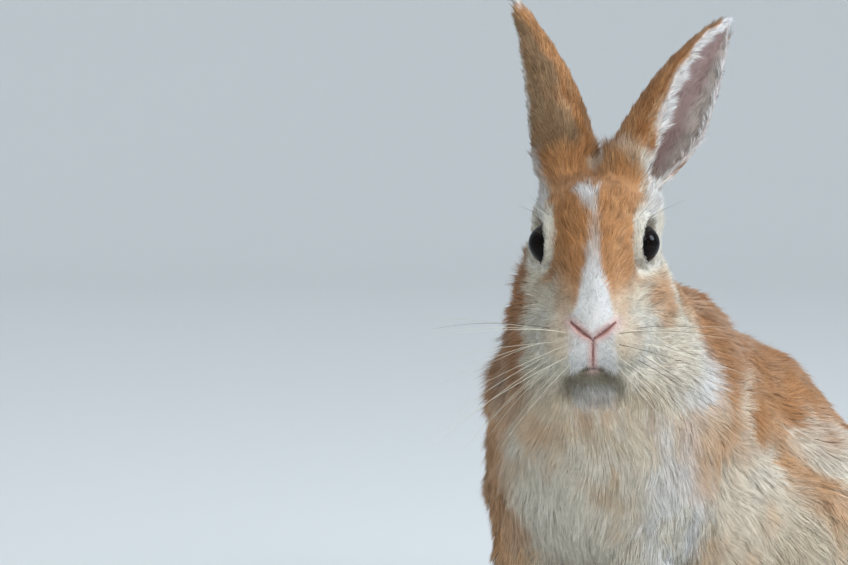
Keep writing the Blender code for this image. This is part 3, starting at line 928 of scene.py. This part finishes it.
def body_markings(points, noise, fine):
    """The coat's colour on the neck, trunk, legs and tail, from places in the row frame."""
    places = points / MM
    x, y, z = places.T
    broad = ripple(points, 0.045, 5)
    mottle = smooth(-0.5, 0.9, 0.6 * noise + 0.6 * broad)
    back = smooth(85, 112, z + 0.28 * (y - 20) + 9 * noise - 0.1 * np.abs(x)) * smooth(-75, -35, y)
    flank = smooth(50, 85, z + 10 * broad) * smooth(-60, -20, y + 8 * noise)
    chest = smooth(-48, -66, y + 5 * noise) * smooth(190, 150, z)
    far_side = smooth(-14, -34, x + 5 * noise) * smooth(-20, -50, y) * smooth(30, 60, z)
    shoulder = smooth(30, 46, x + 6 * noise) * smooth(-86, -70, y) * smooth(60, 80, z + 10 * broad)
    low_chest = smooth(-50, -66, y) * smooth(92, 66, z + 8 * broad) * smooth(-18, -8, x + 4 * noise)
    ruff = ellipse(places, (46, -66, 138), (14, 18, 17))
    streak = ellipse(places, (44, -78, 80), (9, 22, 42)) * smooth(-1.0, 0.3, noise)
    belly = smooth(46, 24, z + 4 * noise)
    return painted(
        plain(CREAM, points),
        (FAWN, 0.2 + 0.45 * mottle),
        (ORANGE, back),
        (ORANGE, 0.35 * flank * mottle),
        (PALE, 0.6 * flank * (1 - mottle)),
        (DEEP, (0.55 + 0.35 * smooth(-0.5, 0.8, fine + 0.5 * noise)) * back),
        (PALE, 0.8 * chest * smooth(0.9, -0.6, fine + broad)),
        (FAWN, 0.45 * chest * smooth(0.1, 1.0, noise + 0.5 * fine)),
        (ORANGE, 0.85 * far_side),
        # painted shade: the far side darker towards the top
        (DEEP, 0.5 * far_side * smooth(105, 135, z)),
        (ORANGE, 0.5 * shoulder * smooth(-0.8, 0.6, broad + 0.5 * fine)),
        (PALE, 0.8 * low_chest),
        (WHITE, np.maximum(ruff, 0.7 * streak)),
        (PALE, 0.8 * belly),
    )


def markings(points, found):
    """The coat's colour everywhere."""
    noise = ripple(points, 0.022, 3)
    fine = ripple(points, 0.008, 4)
    places = to_head(points)
    head = np.clip(found["head"] / np.maximum(1 - found["ear_left"] - found["ear_right"], 0.02), 0, 1)
    colour = mixed(head, body_markings(points, noise, fine), head_markings(places, noise, fine))
    for name in EARS:
        colour = mixed(np.clip(found[name], 0, 1), colour, ear_markings(name, places, noise, fine))
    return colour


def bare_colour(skin):
    """The skin's colour: the coat's, a tenth darker as painted shade deep in the coat, but bare at the lids,
    nose and lips.
    """
    places = to_head(skin["points"])
    head = skin["found"]["head"]
    nostril, cleft, mouth = muzzle_cuts(places)
    nose = np.maximum(nostril, cleft)
    colour = painted(
        # a tenth darker: painted shade deep in the coat
        skin["colour"] * 0.9,
        (NOSE_PINK, np.clip(1.3 * nose**0.35, 0, 1) * head),
        # darker in the nostrils and cleft: partly the nose's own colour, partly painted shade in the slits
        (NOSE_DEEP, nose**1.5 * head),
        # painted shadow in the mouth's line
        (MOUTH_SHADOW, np.clip(1.1 * mouth, 0, 1) * head),
    )
    for side in (1, -1):
        away = distance(places, eye_centre(side))
        colour = painted(
            colour,
            (PALE, smooth(EYE_RADIUS + 7, EYE_RADIUS + 3, away) * head),
            (LID_DARK, smooth(EYE_RADIUS + 1.6, EYE_RADIUS + 0.9, away)),
        )
    return colour


# ---- the lie of the coat


def flattened(vectors, normals):
    """Directions along the skin."""
    return unit(vectors - normals * dots(vectors, normals)[:, None])


def ear_lie(name, places):
    """Towards the tip behind the ear, and from the rims inward in its hollow."""
    ear = EAR_SHAPES[name]
    share, across, hollow = ear_coordinates(ear, places)
    _, tipward, _, aside, _, _ = ear_axes(ear, share)
    inward = aside * -np.sign(across)[:, None] * smooth(0.4, 0.9, np.abs(across))[:, None]
    lie = np.where((hollow < 0)[:, None], tipward + 1.1 * inward, tipward)
    return unit(lie) @ HEAD_TURN.T


def head_lie(places):
    """Away from the nose, a little downward on the cheeks, and round the eyes."""
    droop = 0.25 * smooth(-5, -30, places[:, 2])[:, None]
    lie = unit(places - np.array(NOSE_TIP) + (0, 3, 0)) - droop * (0, 0, 1)
    for side in (1, -1):
        offset = places - eye_centre(side)
        near = smooth(EYE_RADIUS + 7, EYE_RADIUS + 2, np.linalg.norm(offset, axis=1))
        lie = lie + unit(offset * (0, 1, 1)) * (2.5 * near)[:, None]
    return lie @ HEAD_TURN.T


def coat_lie(points, normals, edges, found):
    """The direction that the coat lies in at each vertex, along the skin."""
    places = to_head(points)
    _, y, z = (points / MM).T
    front = smooth(-30, -80, y)[:, None]
    top = smooth(70, 130, z)[:, None]
    paw = smooth(PAW_TOP + 8, PAW_TOP - 4, z)[:, None]
    guides = {name: ear_lie(name, places) for name in EARS}
    guides["head"] = head_lie(places)
    guides["neck"] = blend((0, 0.8, -0.6), (0, -0.1, -1), front)
    guides["trunk"] = blend(blend((0, 0.7, -0.75), (0, 1, -0.2), top), (0, 0, -1), front)
    guides["tail"] = plain((0.0, 0.4, 1.0), points)
    for side in ("left", "right"):
        guides[f"foreleg_{side}"] = blend((0, -0.1, -1), (0, -1, -0.2), paw)
        guides[f"hindleg_{side}"] = blend((0, 0.55, -0.85), (0, -1, -0.1), paw)
    lie = sum(found[name][:, None] * guides[name] for name in (*FLESH, *EARS))
    fixed = np.maximum(found["ear_left"], found["ear_right"])[:, None]
    for _ in range(SOFTENING_ROUNDS):
        lie = flattened(blend(neighbour_mean(lie, edges), lie, fixed), normals)
    return lie


def lit_normals(points, normals, found):
    """The way that the coat takes the light: as the skin does, but out of the ear in its hollow."""
    places = to_head(points)
    facing = normals
    for name in EARS:
        share, _, hollow = ear_coordinates(EAR_SHAPES[name], places)
        opening = ear_axes(EAR_SHAPES[name], share)[2] @ HEAD_TURN.T
        inside = (found[name] * smooth(0.3, -0.3, hollow))[:, None]
        facing = unit(blend(facing, opening, inside))
    return facing


# ---- the length, width, lift and count of the tufts


def trim_face(coat, places, face):
    """Short, fine and dense towards the nose, and none on its bare parts and the lips."""
    far = smooth(8, 48, distance(places, NOSE_TIP))
    coat["length"] = blend(coat["length"], blend(1.6, coat["length"], far), face)
    coat["width"] = blend(coat["width"], blend(0.20, coat["width"], far), face)
    coat["count"] = blend(coat["count"], coat["count"] * (1.9 - 0.9 * far), face)
    nostril, cleft, mouth = muzzle_cuts(places)
    bare = np.maximum(np.maximum(nostril, cleft), 0.3 * mouth) * face
    coat["count"] *= 1 - smooth(0.05, 0.4, bare)


def trim_eyes(coat, places):
    """Close and dense round the eyes, and none on the edges of the lids."""
    for side in (1, -1):
        away = distance(places, eye_centre(side))
        near = smooth(EYE_RADIUS + 9, EYE_RADIUS + 2, away)
        coat["length"] *= 1 - 0.68 * near
        coat["lift"] *= 1 - 0.3 * near
        coat["count"] *= (away > EYE_RADIUS + 0.6) * (1 + 1.9 * near)


def trim_paws(coat, height, legs):
    """Short and even on the feet."""
    low = legs * smooth(PAW_TOP + 22, PAW_TOP - 6, height)
    for key, value in (("length", 3.2), ("width", 0.42), ("lift", 12), ("count", 3.2)):
        coat[key] = blend(coat[key], value, low)


def trim_ears(coat, places, found):
    """Thin and fine in the hollows, close along the outer rims, and long on the left ear's near rim."""
    hollow = np.zeros(len(places))
    for name in EARS:
        share, across, side = ear_coordinates(EAR_SHAPES[name], places)
        left = name == "ear_left"
        rim = np.abs(across)
        inside = found[name] * smooth(0.3, -0.3, side)
        hollow += inside * smooth(0.95, 0.72, rim)
        fringe = smooth(0.4, 0.9, rim)
        outer_rim = found[name] * smooth(0.72, 0.95, rim) * smooth(-0.3, 0.3, side)
        near_rim = inside * smooth(-0.5, -0.8, across) * left
        tipward = smooth(0.5, 0.9, share)
        coat["length"] += inside * (1.4 * fringe if left else -1.6 - 0.8 * fringe)
        coat["length"] *= 1 - 0.5 * outer_rim
        coat["length"] += (2.0 - 2.5 * tipward) * near_rim
        coat["lift"] += (28 - 10 * tipward) * near_rim - 4 * inside
        coat["width"] -= 0.08 * inside
        coat["count"] *= (1 + near_rim) * (1 + 0.5 * inside * smooth(0.5, 0.8, rim))
    coat["width"] -= 0.04 * hollow
    coat["count"] *= 1 - 0.5 * hollow


def raise_crest(coat, places):
    """Long, lifted fur at the nape and between the ears."""
    aside, back, height = places.T
    nape = smooth(-14, -22, aside) * smooth(2, 14, back) * smooth(2, -12, height) * smooth(-74, -50, height)
    crest = ellipse(places, (2, 22, 36), (9, 9, 8))
    coat["length"] += 4 * nape + 3 * crest
    coat["lift"] += 11 * nape + 14 * crest


def coat_fields(points, found):
    """The length, width and lift of the tufts, and their count to a square millimetre, at each vertex."""
    rows = np.array([COAT[name.split("_")[0]] for name in (*FLESH, *EARS)])
    weight = np.stack([found[name] for name in (*FLESH, *EARS)], axis=1)
    values = (weight @ rows).T / np.maximum(weight.sum(1), 1e-6)
    coat = dict(zip(("length", "width", "lift", "count"), values))
    places, height = to_head(points), points[:, 2] / MM
    trim_face(coat, places, found["head"])
    trim_paws(coat, height, sum(found[name] for name in FLESH if "leg" in name))
    trim_ears(coat, places, found)
    raise_crest(coat, places)
    trim_eyes(coat, places)
    coat["count"] = np.maximum(coat["count"] * np.where(height < 1.2, 0.3, 1.0), 0)
    coat["lift"] = np.radians(coat["lift"])
    return coat


# ---- tufts


def scattered(triangles, points, count, budget, source):
    """Roots strewn over triangles as thickly as count says: their triangles and shares of corners."""
    a, b, c = (points[triangles[:, k]] for k in range(3))
    area = np.linalg.norm(np.cross(b - a, c - a), axis=1) / 2 / MM**2
    expected = area * count[triangles].mean(1)
    expected *= min(1.0, budget / expected.sum())
    number = np.floor(expected + source.random(len(expected))).astype(int)
    chosen = np.repeat(np.arange(len(triangles)), number)[:budget]
    u, v = source.random(len(chosen)), source.random(len(chosen))
    over = u + v > 1
    u[over], v[over] = 1 - u[over], 1 - v[over]
    return chosen, np.stack([1 - u - v, u, v], axis=1)


def gathered(corners, shares):
    """A field's values at the roots, from its values at the corners round each."""
    if corners.ndim == 2:
        return dots(corners, shares)
    return np.einsum("ijk,ij->ik", corners, shares)


def rooted(skin, region, budget, source):
    """The roots of the tufts over a region of the skin, and all that the skin says of them."""
    triangles = skin["triangles"][region]
    chosen, shares = scattered(triangles, skin["points"], skin["count"], budget, source)
    fields = ("points", "normals", "lit", "lie", "colour", "length", "width", "lift")
    tufts = {field: gathered(skin[field][triangles[chosen]], shares) for field in fields}
    tufts["uv"] = gathered(skin["uv"][region][chosen], shares)
    tufts["normals"] = unit(tufts["normals"])
    tufts["lit"] = unit(tufts["lit"])
    tufts["lie"] = flattened(tufts["lie"], tufts["normals"])
    return tufts


def tree_of(points):
    tree = kdtree.KDTree(len(points))
    for k, point in enumerate(points):
        tree.insert(point, k)
    tree.balance()
    return tree


def clumped(roots, tips, strength, source):
    """Draws the tips together into locks, each round one of the tufts."""
    leaders = source.choice(len(roots), max(1, int(len(roots) / LOCK_SIZE)), replace=False)
    tree = tree_of(roots[leaders])
    own = leaders[[tree.find(root)[1] for root in roots]]
    offset = tips - roots
    return tips + (tips[own] - tips) * strength[:, None] * 0.8 + (offset[own] - offset) * 0.2


def swung(first, second, angle):
    """Directions at an angle from the first towards the second."""
    return first * np.cos(angle)[:, None] + second * np.sin(angle)[:, None]


def tuft_corners(tufts, look, bends, source):
    """Each tuft's corners, as a ring of three at its root, one at its bend if it has one, and its tip."""
    roots, normal = tufts["points"], tufts["normals"]
    total = len(roots)
    turn = look.wander * ripple(roots, look.wavelength, 11) + 0.16 * source.normal(size=total)
    lie = swung(tufts["lie"], np.cross(normal, tufts["lie"]), turn)
    aside = np.cross(normal, lie)
    length = tufts["length"] * np.clip(1 + 0.22 * source.normal(size=total), 0.5, 1.6) * MM
    raised = 1 + 0.28 * source.normal(size=total) + 0.35 * ripple(roots, 0.01, 12)
    lift = tufts["lift"] * np.clip(raised, 0.25, 2.2)
    half = tufts["width"] * source.uniform(0.75, 1.25, total) * MM / 2
    sink = np.minimum(SINK * MM, 0.15 * length)
    start = roots - normal * sink[:, None]
    middle = roots + BEND_AT * length[:, None] * swung(lie, normal, lift * LOW_LIFT)
    tip = middle + (1 - BEND_AT) * length[:, None] * swung(lie, normal, lift * HIGH_LIFT)
    strength = np.clip(0.32 + 0.35 * ripple(roots, 0.03, 13), 0.05, 0.6) * smooth(3 * MM, 9 * MM, length)
    tip = clumped(roots, tip, strength, source)
    angles = source.uniform(0, 2 * np.pi, total)
    corners = []
    for centre, radius in [(start, half), (middle, half * BEND_WIDTH)][: 1 + bends]:
        for k in range(3):
            corners.append(centre + swung(aside, normal, angles + 2 * np.pi * k / 3) * radius[:, None])
    places = np.stack([*corners, tip], axis=1)
    places[..., 2] = np.maximum(places[..., 2], 0.3 * MM)
    return places, lie


def tuft_faces(total, size):
    """Triangles that close each tuft's root and join its rings to one another and to its tip."""
    faces = [(0, 2, 1)]
    last = size - 4
    for k in range(3):
        onward = (k + 1) % 3
        if last:
            faces += [(k, onward, onward + 3), (k, onward + 3, k + 3)]
    for k in range(3):
        faces.append((last + k, last + (k + 1) % 3, size - 1))
    return (np.arange(total)[:, None, None] * size + np.array(faces)).reshape(-1, 3)


def tuft_shades(tufts, look, size, source):
    """The colours of the tufts' corners, in streaks of tone and darker at the roots than at the tips."""
    roots = tufts["points"]
    streaks = look.streaks * ripple(roots, 0.0030, 14) + 0.07 * ripple(roots, 0.010, 15) + look.paler
    tone = np.clip(1 + streaks + look.scatter * source.normal(size=len(roots)), 0.5, 1.5)[:, None]
    rings = [np.array(ROOT_TONE) ** look.roots, np.array(MIDDLE_TONE)]
    levels = [rings[k // 3] for k in range(size - 1)] + [np.array(TIP_TONE)]
    return np.stack([np.clip(tufts["colour"] * tone * level, 0, 0.95) for level in levels], axis=1)


def tuft_mesh(name, skin, region, slot, budget, bends, seed):
    """One piece of the coat: curved or straight tufts over a region of the skin, as one mesh."""
    source = np.random.default_rng(seed)
    look = LOOKS[slot]
    tufts = rooted(skin, region, budget, source)
    places, lie = tuft_corners(tufts, look, bends, source)
    total, size, _ = places.shape
    faces = tuft_faces(total, size)
    mesh = built(name, places.reshape(-1, 3), faces)
    write_colour(mesh, tuft_shades(tufts, look, size, source).reshape(-1, 3))
    step = np.linspace(-0.5, 0.5, size) * PATCH
    spots = tufts["uv"][:, None] + np.stack([step, step[::-1]], axis=1)
    write_map(mesh, spots.reshape(-1, 2)[faces.ravel()])
    mesh.shade_smooth()
    own = unit(places - places.mean(1, keepdims=True))
    facing = tufts["lit"][:, None] * look.evenness + own * (1.3 - look.evenness) + lie[:, None] * 0.2
    mesh.normals_split_custom_set_from_vertices(unit(facing).reshape(-1, 3).tolist())
    return mesh


def coat_regions(skin):
    """Which of the skin's triangles each piece of the coat grows from."""
    corners = skin["triangles"]
    centre = skin["points"][corners].mean(1)
    names = (*FLESH, *EARS)
    shares = [skin["found"][name][corners].mean(1) for name in names]
    main = np.array(names)[np.argmax(shares, axis=0)]
    face = (main == "head") & (to_head(centre)[:, 1] < FACE_BACK)
    trunk = main == "trunk"
    front = centre[:, 1] / MM < CHEST_BACK
    top = centre[:, 2] / MM > BACK_LOW
    return {
        "face": face,
        "head": (main == "head") & ~face,
        "ear_left": main == "ear_left",
        "ear_right": main == "ear_right",
        "neck": main == "neck",
        "chest": trunk & front,
        "back": trunk & ~front & top,
        "flanks": trunk & ~front & ~top,
        "forelegs": np.char.startswith(main, "foreleg"),
        "hindlegs": np.char.startswith(main, "hindleg"),
        "tail": main == "tail",
    }


# ---- single hairs: whiskers and lashes


def hair(start, heading, length, sag, radius, steps=10, sides=5):
    """A tapered hair that sags as it goes, in the head's frame."""
    heading = unit(np.array(heading, float))
    share = np.linspace(0, 1, steps + 1)[:, None]
    line = np.array(start) + heading * length * share + np.array((0, 0, -1.0)) * sag * share**2
    along = unit(np.gradient(line, axis=0))
    first = unit(np.cross(along, (0.31, 0.2, 0.93)))
    second = np.cross(along, first)
    angle = (2 * np.pi * np.arange(sides) / sides)[None, :, None]
    thick = radius * (1 - 0.85 * share)
    spokes = first[:, None] * np.cos(angle) + second[:, None] * np.sin(angle)
    places = (line[:, None] + spokes * thick[:, None]).reshape(-1, 3)
    return places, tube_quads(steps + 1, sides)


def joined_hairs(name, hairs, colours):
    """Many hairs as one mesh, each with its own colour."""
    places, faces, shades, first = [], [], [], 0
    for (points, quads), colour in zip(hairs, colours):
        places.append(points)
        faces.append(quads + first)
        shades.append(plain(colour, points))
        first += len(points)
    mesh = built(name, from_head(np.concatenate(places)), np.concatenate(faces))
    write_colour(mesh, np.concatenate(shades))
    mesh.shade_smooth()
    return mesh


def skin_point(tree, place):
    """The point of the skin nearest to a place of the head, in the head's frame."""
    return to_head(np.array(tree.find(HEAD @ Vector(place))[0])[None])[0]


def whisker_mesh(tree):
    """Long whiskers in four rows on each pad, and a few over each eye."""
    source = np.random.default_rng(21)
    hairs, colours = [], []
    for side in (1, -1):
        dark_share = 0.35 if side > 0 else 0.12
        for row in range(4):
            for k in range(4):
                start = skin_point(tree, (side * (9.5 + 2.6 * k), -37 + 3.2 * k, -36.5 - 4.2 * row))
                rise = 0.05 - 0.36 * row + 0.12 * source.normal()
                heading = (side * (1.0 + 0.1 * k), 0.30 + 0.20 * k, rise)
                length = source.uniform(45, 74) - 5 * abs(row - 1.5)
                hairs.append(hair(start, heading, length, source.uniform(2, 12), 0.13))
                shade = DARK_HAIR if source.random() < dark_share else PALE_HAIR
                colours.append(np.array(shade) * source.uniform(0.8, 1.1))
        for k in range(4):
            start = skin_point(tree, (side * (17.5 + 1.2 * k), -8 + 4 * k, 12.0))
            heading = (side * (0.45 + 0.2 * k), -0.5 + 0.1 * k, 0.9 - 0.1 * k)
            hairs.append(hair(start, heading, source.uniform(12, 20), 1.5, 0.09))
            colours.append(DARK_HAIR if k % 2 else PALE_HAIR)
    return joined_hairs("whiskers", hairs, colours)


def lash_mesh():
    """Short hairs along the upper lids."""
    source = np.random.default_rng(22)
    hairs = []
    for side in (1, -1):
        centre, gaze, up, forward = eye_frame(side)
        for k in range(26):
            turn = math.radians(-62 + 124 * (k + source.uniform(-0.3, 0.3)) / 25)
            outward = up * math.cos(turn) + forward * math.sin(turn)
            start = centre + outward * (EYE_RADIUS - 0.3) + gaze * (LID_PLANE + 0.9)
            heading = gaze * 0.75 + outward * 0.75 + 0.18 * source.normal(size=3)
            hairs.append(hair(start, heading, source.uniform(3.5, 6.5), 0.4, 0.08, steps=5, sides=4))
    colours = [np.array(DARK_HAIR) * source.uniform(0.6, 1.6) for _ in hairs]
    return joined_hairs("lashes", hairs, colours)


# ---- claws


def claw_mesh(node):
    """Four curved claws at the ends of a foot's toes."""
    side = 1 if node.endswith("left") else -1
    middle, step = FORE_TOES if node.startswith("foreleg") else HIND_TOES
    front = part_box(node)[0].y / MM
    rings, sides = 8, 8
    share = np.linspace(0, 1, rings)[:, None]
    angle = 2 * np.pi * np.arange(sides) / sides
    ring = np.stack([np.cos(angle), 0 * angle, 1.15 * np.sin(angle)], axis=1)
    thick = 1.25 * (1 - share**1.5) + 0.12
    curve = np.concatenate([0 * share, -(CLAW_LENGTH + 1.5) * share, -3.4 * share**1.6], axis=1)
    places, faces = [], []
    for k, toe in enumerate((-1.5, -0.5, 0.5, 1.5)):
        root = np.array((side * (middle + step * toe), front + CLAW_LENGTH + 1.5, 4.8))
        places.append(((root + curve)[:, None] + ring * thick[:, None]).reshape(-1, 3))
        faces.append(turned_over(tube_quads(rings, sides, k * rings * sides)))
    points = np.concatenate(places)
    points[:, 2] = np.maximum(points[:, 2], 0.2)
    mesh = built("claws", points * MM, np.concatenate(faces))
    shade = np.tile(np.linspace(0.55, 1.1, rings).repeat(sides), 4)[:, None]
    write_colour(mesh, np.array(CLAW_COLOUR) * shade)
    mesh.shade_smooth()
    return mesh


# ---- materials


def set_inputs(node, values):
    for key, value in values.items():
        node.inputs[key].default_value = value


def added_node(nodes, kind, values):
    node = nodes.new(f"ShaderNode{kind}")
    set_inputs(node, values)
    return node


def coloured_material(name, roughness, specular, bump=0.0, bump_size=0.0006, sheen=0.0, inner=0.0):
    """A surface whose colour is its mesh's own "coat" colour, varied a little by noise."""
    made = bpy.data.materials.new(name)
    made.use_nodes = True
    nodes, links = made.node_tree.nodes, made.node_tree.links
    shader = nodes["Principled BSDF"]
    settings = {
        "Roughness": roughness,
        "Specular IOR Level": specular,
        "Sheen Weight": sheen,
        "Subsurface Weight": inner,
        "Subsurface Radius": (1.0, 0.35, 0.2),
        "Subsurface Scale": 0.002,
    }
    set_inputs(shader, settings)
    colour = added_node(nodes, "Attribute", {})
    colour.attribute_name = "coat"
    place = added_node(nodes, "TexCoord", {})
    grain = added_node(nodes, "TexNoise", {"Scale": 1 / bump_size, "Detail": 2.0})
    links.new(place.outputs["Object"], grain.inputs["Vector"])
    tone = added_node(nodes, "MapRange", {"To Min": 0.86, "To Max": 1.12})
    links.new(grain.outputs["Fac"], tone.inputs["Value"])
    varied = added_node(nodes, "VectorMath", {})
    varied.operation = "SCALE"
    links.new(colour.outputs["Color"], varied.inputs[0])
    links.new(tone.outputs["Result"], varied.inputs["Scale"])
    links.new(varied.outputs["Vector"], shader.inputs["Base Color"])
    if bump:
        relief = added_node(nodes, "Bump", {"Strength": bump, "Distance": bump_size})
        links.new(grain.outputs["Fac"], relief.inputs["Height"])
        links.new(relief.outputs["Normal"], shader.inputs["Normal"])
    return made


def fitted(thing, material, replaced=()):
    thing.data.materials.clear()
    thing.data.materials.append(material)
    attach(thing, "root")
    if replaced:
        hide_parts(*replaced)


# ---- the rabbit


def dressed_skin():
    """The skin as an object, and all that the coat needs to know about it."""
    outline, nearest = union_of(FLESH)
    ears = ear_volume()
    volume = with_eyelids(soft_min(flesh_volume(outline, nearest), ears, EAR_JOIN))
    thing = placed("skin", skin_mesh(volume))
    unwrapped(thing)
    mesh = thing.data
    points, normals, edges = vertex_array(mesh), normal_array(mesh), edge_array(mesh)
    found = blended_regions(regions(points, nearest, ears), edges)
    skin = {
        "points": points,
        "normals": normals,
        "triangles": triangle_array(mesh),
        "found": found,
        "uv": column_values(mesh.uv_layers["OFBake"].data, "uv", 2).reshape(-1, 3, 2),
        "lie": coat_lie(points, normals, edges, found),
        "lit": lit_normals(points, normals, found),
        "colour": markings(points, found),
        **coat_fields(points, found),
    }
    write_colour(mesh, bare_colour(skin))
    return thing, skin


def grown_coat(skin):
    """The coat, piece by piece."""
    material = coloured_material("coat", 0.75, 0.16, bump_size=0.004, sheen=0.08)
    for number, (name, region) in enumerate(coat_regions(skin).items()):
        slot, tufts, bends = PIECES[name]
        name = f"coat_{name}"
        mesh = tuft_mesh(name, skin, region, slot, tufts, bends, FIRST_SEED + number)
        fitted(placed(name, mesh), material)


def rabbit():
    thing, skin = dressed_skin()
    bare = coloured_material("skin_under_coat", 0.55, 0.35, bump=0.5, inner=0.12)
    fitted(thing, bare, FLESH + EARS)
    grown_coat(skin)
    gloss = coloured_material("eye_gloss", 0.03, 0.08)
    for side, name in ((1, "eye_left"), (-1, "eye_right")):
        fitted(placed(f"globe_{name}", eye_globe(side)), gloss, (name,))
    single = coloured_material("single_hair", 0.4, 0.4)
    fitted(placed("whiskers", whisker_mesh(tree_of(skin["points"]))), single)
    fitted(placed("lashes", lash_mesh()), single)
    horn = coloured_material("horn", 0.35, 0.5)
    for node in FLESH:
        if "leg" in node:
            fitted(placed(f"claws_{node}", claw_mesh(node)), horn)


# ---- floor, light and camera


def floor():
    """A pale round floor that curves up into a wall, far round the rabbit."""
    flat, bend, height, spokes = 3.2, 1.2, 3.0, 96
    turns = np.linspace(0, np.pi / 2, 13)
    radii = np.concatenate([[0.0001, 0.5, 1.5], flat + bend * np.sin(turns), [flat + bend]])
    heights = np.concatenate([[0, 0, 0], bend * (1 - np.cos(turns)), [height]])
    angle = 2 * np.pi * np.arange(spokes) / spokes
    rings = np.stack([radii[:, None] * np.cos(angle), radii[:, None] * np.sin(angle)], axis=-1)
    places = np.concatenate([rings, np.broadcast_to(heights[:, None, None], (*rings.shape[:2], 1))], axis=-1)
    faces = turned_over(tube_quads(len(radii), spokes))
    made = placed("floor", built("floor", places.reshape(-1, 3), faces))
    made.data.shade_smooth()
    pale = bpy.data.materials.new("pale_floor")
    pale.use_nodes = True
    shader = pale.node_tree.nodes["Principled BSDF"]
    set_inputs(shader, {"Base Color": (0.72, 0.74, 0.74, 1), "Roughness": 0.9})
    made.data.materials.append(pale)


def surroundings():
    world = bpy.data.worlds.new("studio")
    bpy.context.scene.world = world
    world.use_nodes = True
    set_inputs(world.node_tree.nodes["Background"], {"Color": (0.80, 0.86, 0.92, 1), "Strength": 1.0})


def camera():
    """The camera looks from the rabbit's left front, a little above, with the rabbit right of the middle."""
    azimuth, elevation = CAMERA_AZIMUTH, CAMERA_ELEVATION
    right = Vector((math.cos(azimuth), math.sin(azimuth), 0))
    outward = math.cos(elevation)
    back = Vector((math.sin(azimuth) * outward, -math.cos(azimuth) * outward, math.sin(elevation)))
    aim = HEAD.translation - right * CAMERA_ASIDE - Vector((0, 0, CAMERA_BELOW))
    data = bpy.data.cameras.new("camera")
    data.sensor_width = 36.0
    data.lens = data.sensor_width * CAMERA_DISTANCE / CAMERA_WIDTH
    made = bpy.data.objects.new("camera", data)
    made.location = aim + back * CAMERA_DISTANCE
    made.rotation_euler = (-back).to_track_quat("-Z", "Y").to_euler()
    bpy.context.scene.collection.objects.link(made)
    bpy.context.scene.camera = made
    return aim, right, back


def soft_light(name, place, size, power, colour, aim):
    data = bpy.data.lights.new(name, "AREA")
    data.shape = "DISK"
    data.size = size
    data.energy = power
    data.color = colour
    lamp = bpy.data.objects.new(name, data)
    lamp.location = place
    lamp.rotation_euler = (Vector(place) - aim).to_track_quat("Z", "Y").to_euler()
    bpy.context.scene.collection.objects.link(lamp)


def lights(aim, right, back):
    level = Vector((back.x, back.y, 0)).normalized()
    up = Vector((0, 0, 1))
    for name, (aside, forward, height), size, power, colour in LIGHTS:
        place = aim + right * aside + level * forward + up * height
        soft_light(name, place, size, power, colour, aim)


def main():
    rabbit()
    floor()
    surroundings()
    lights(*camera())
    bpy.context.scene.view_settings.view_transform = "Standard"
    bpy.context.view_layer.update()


main()
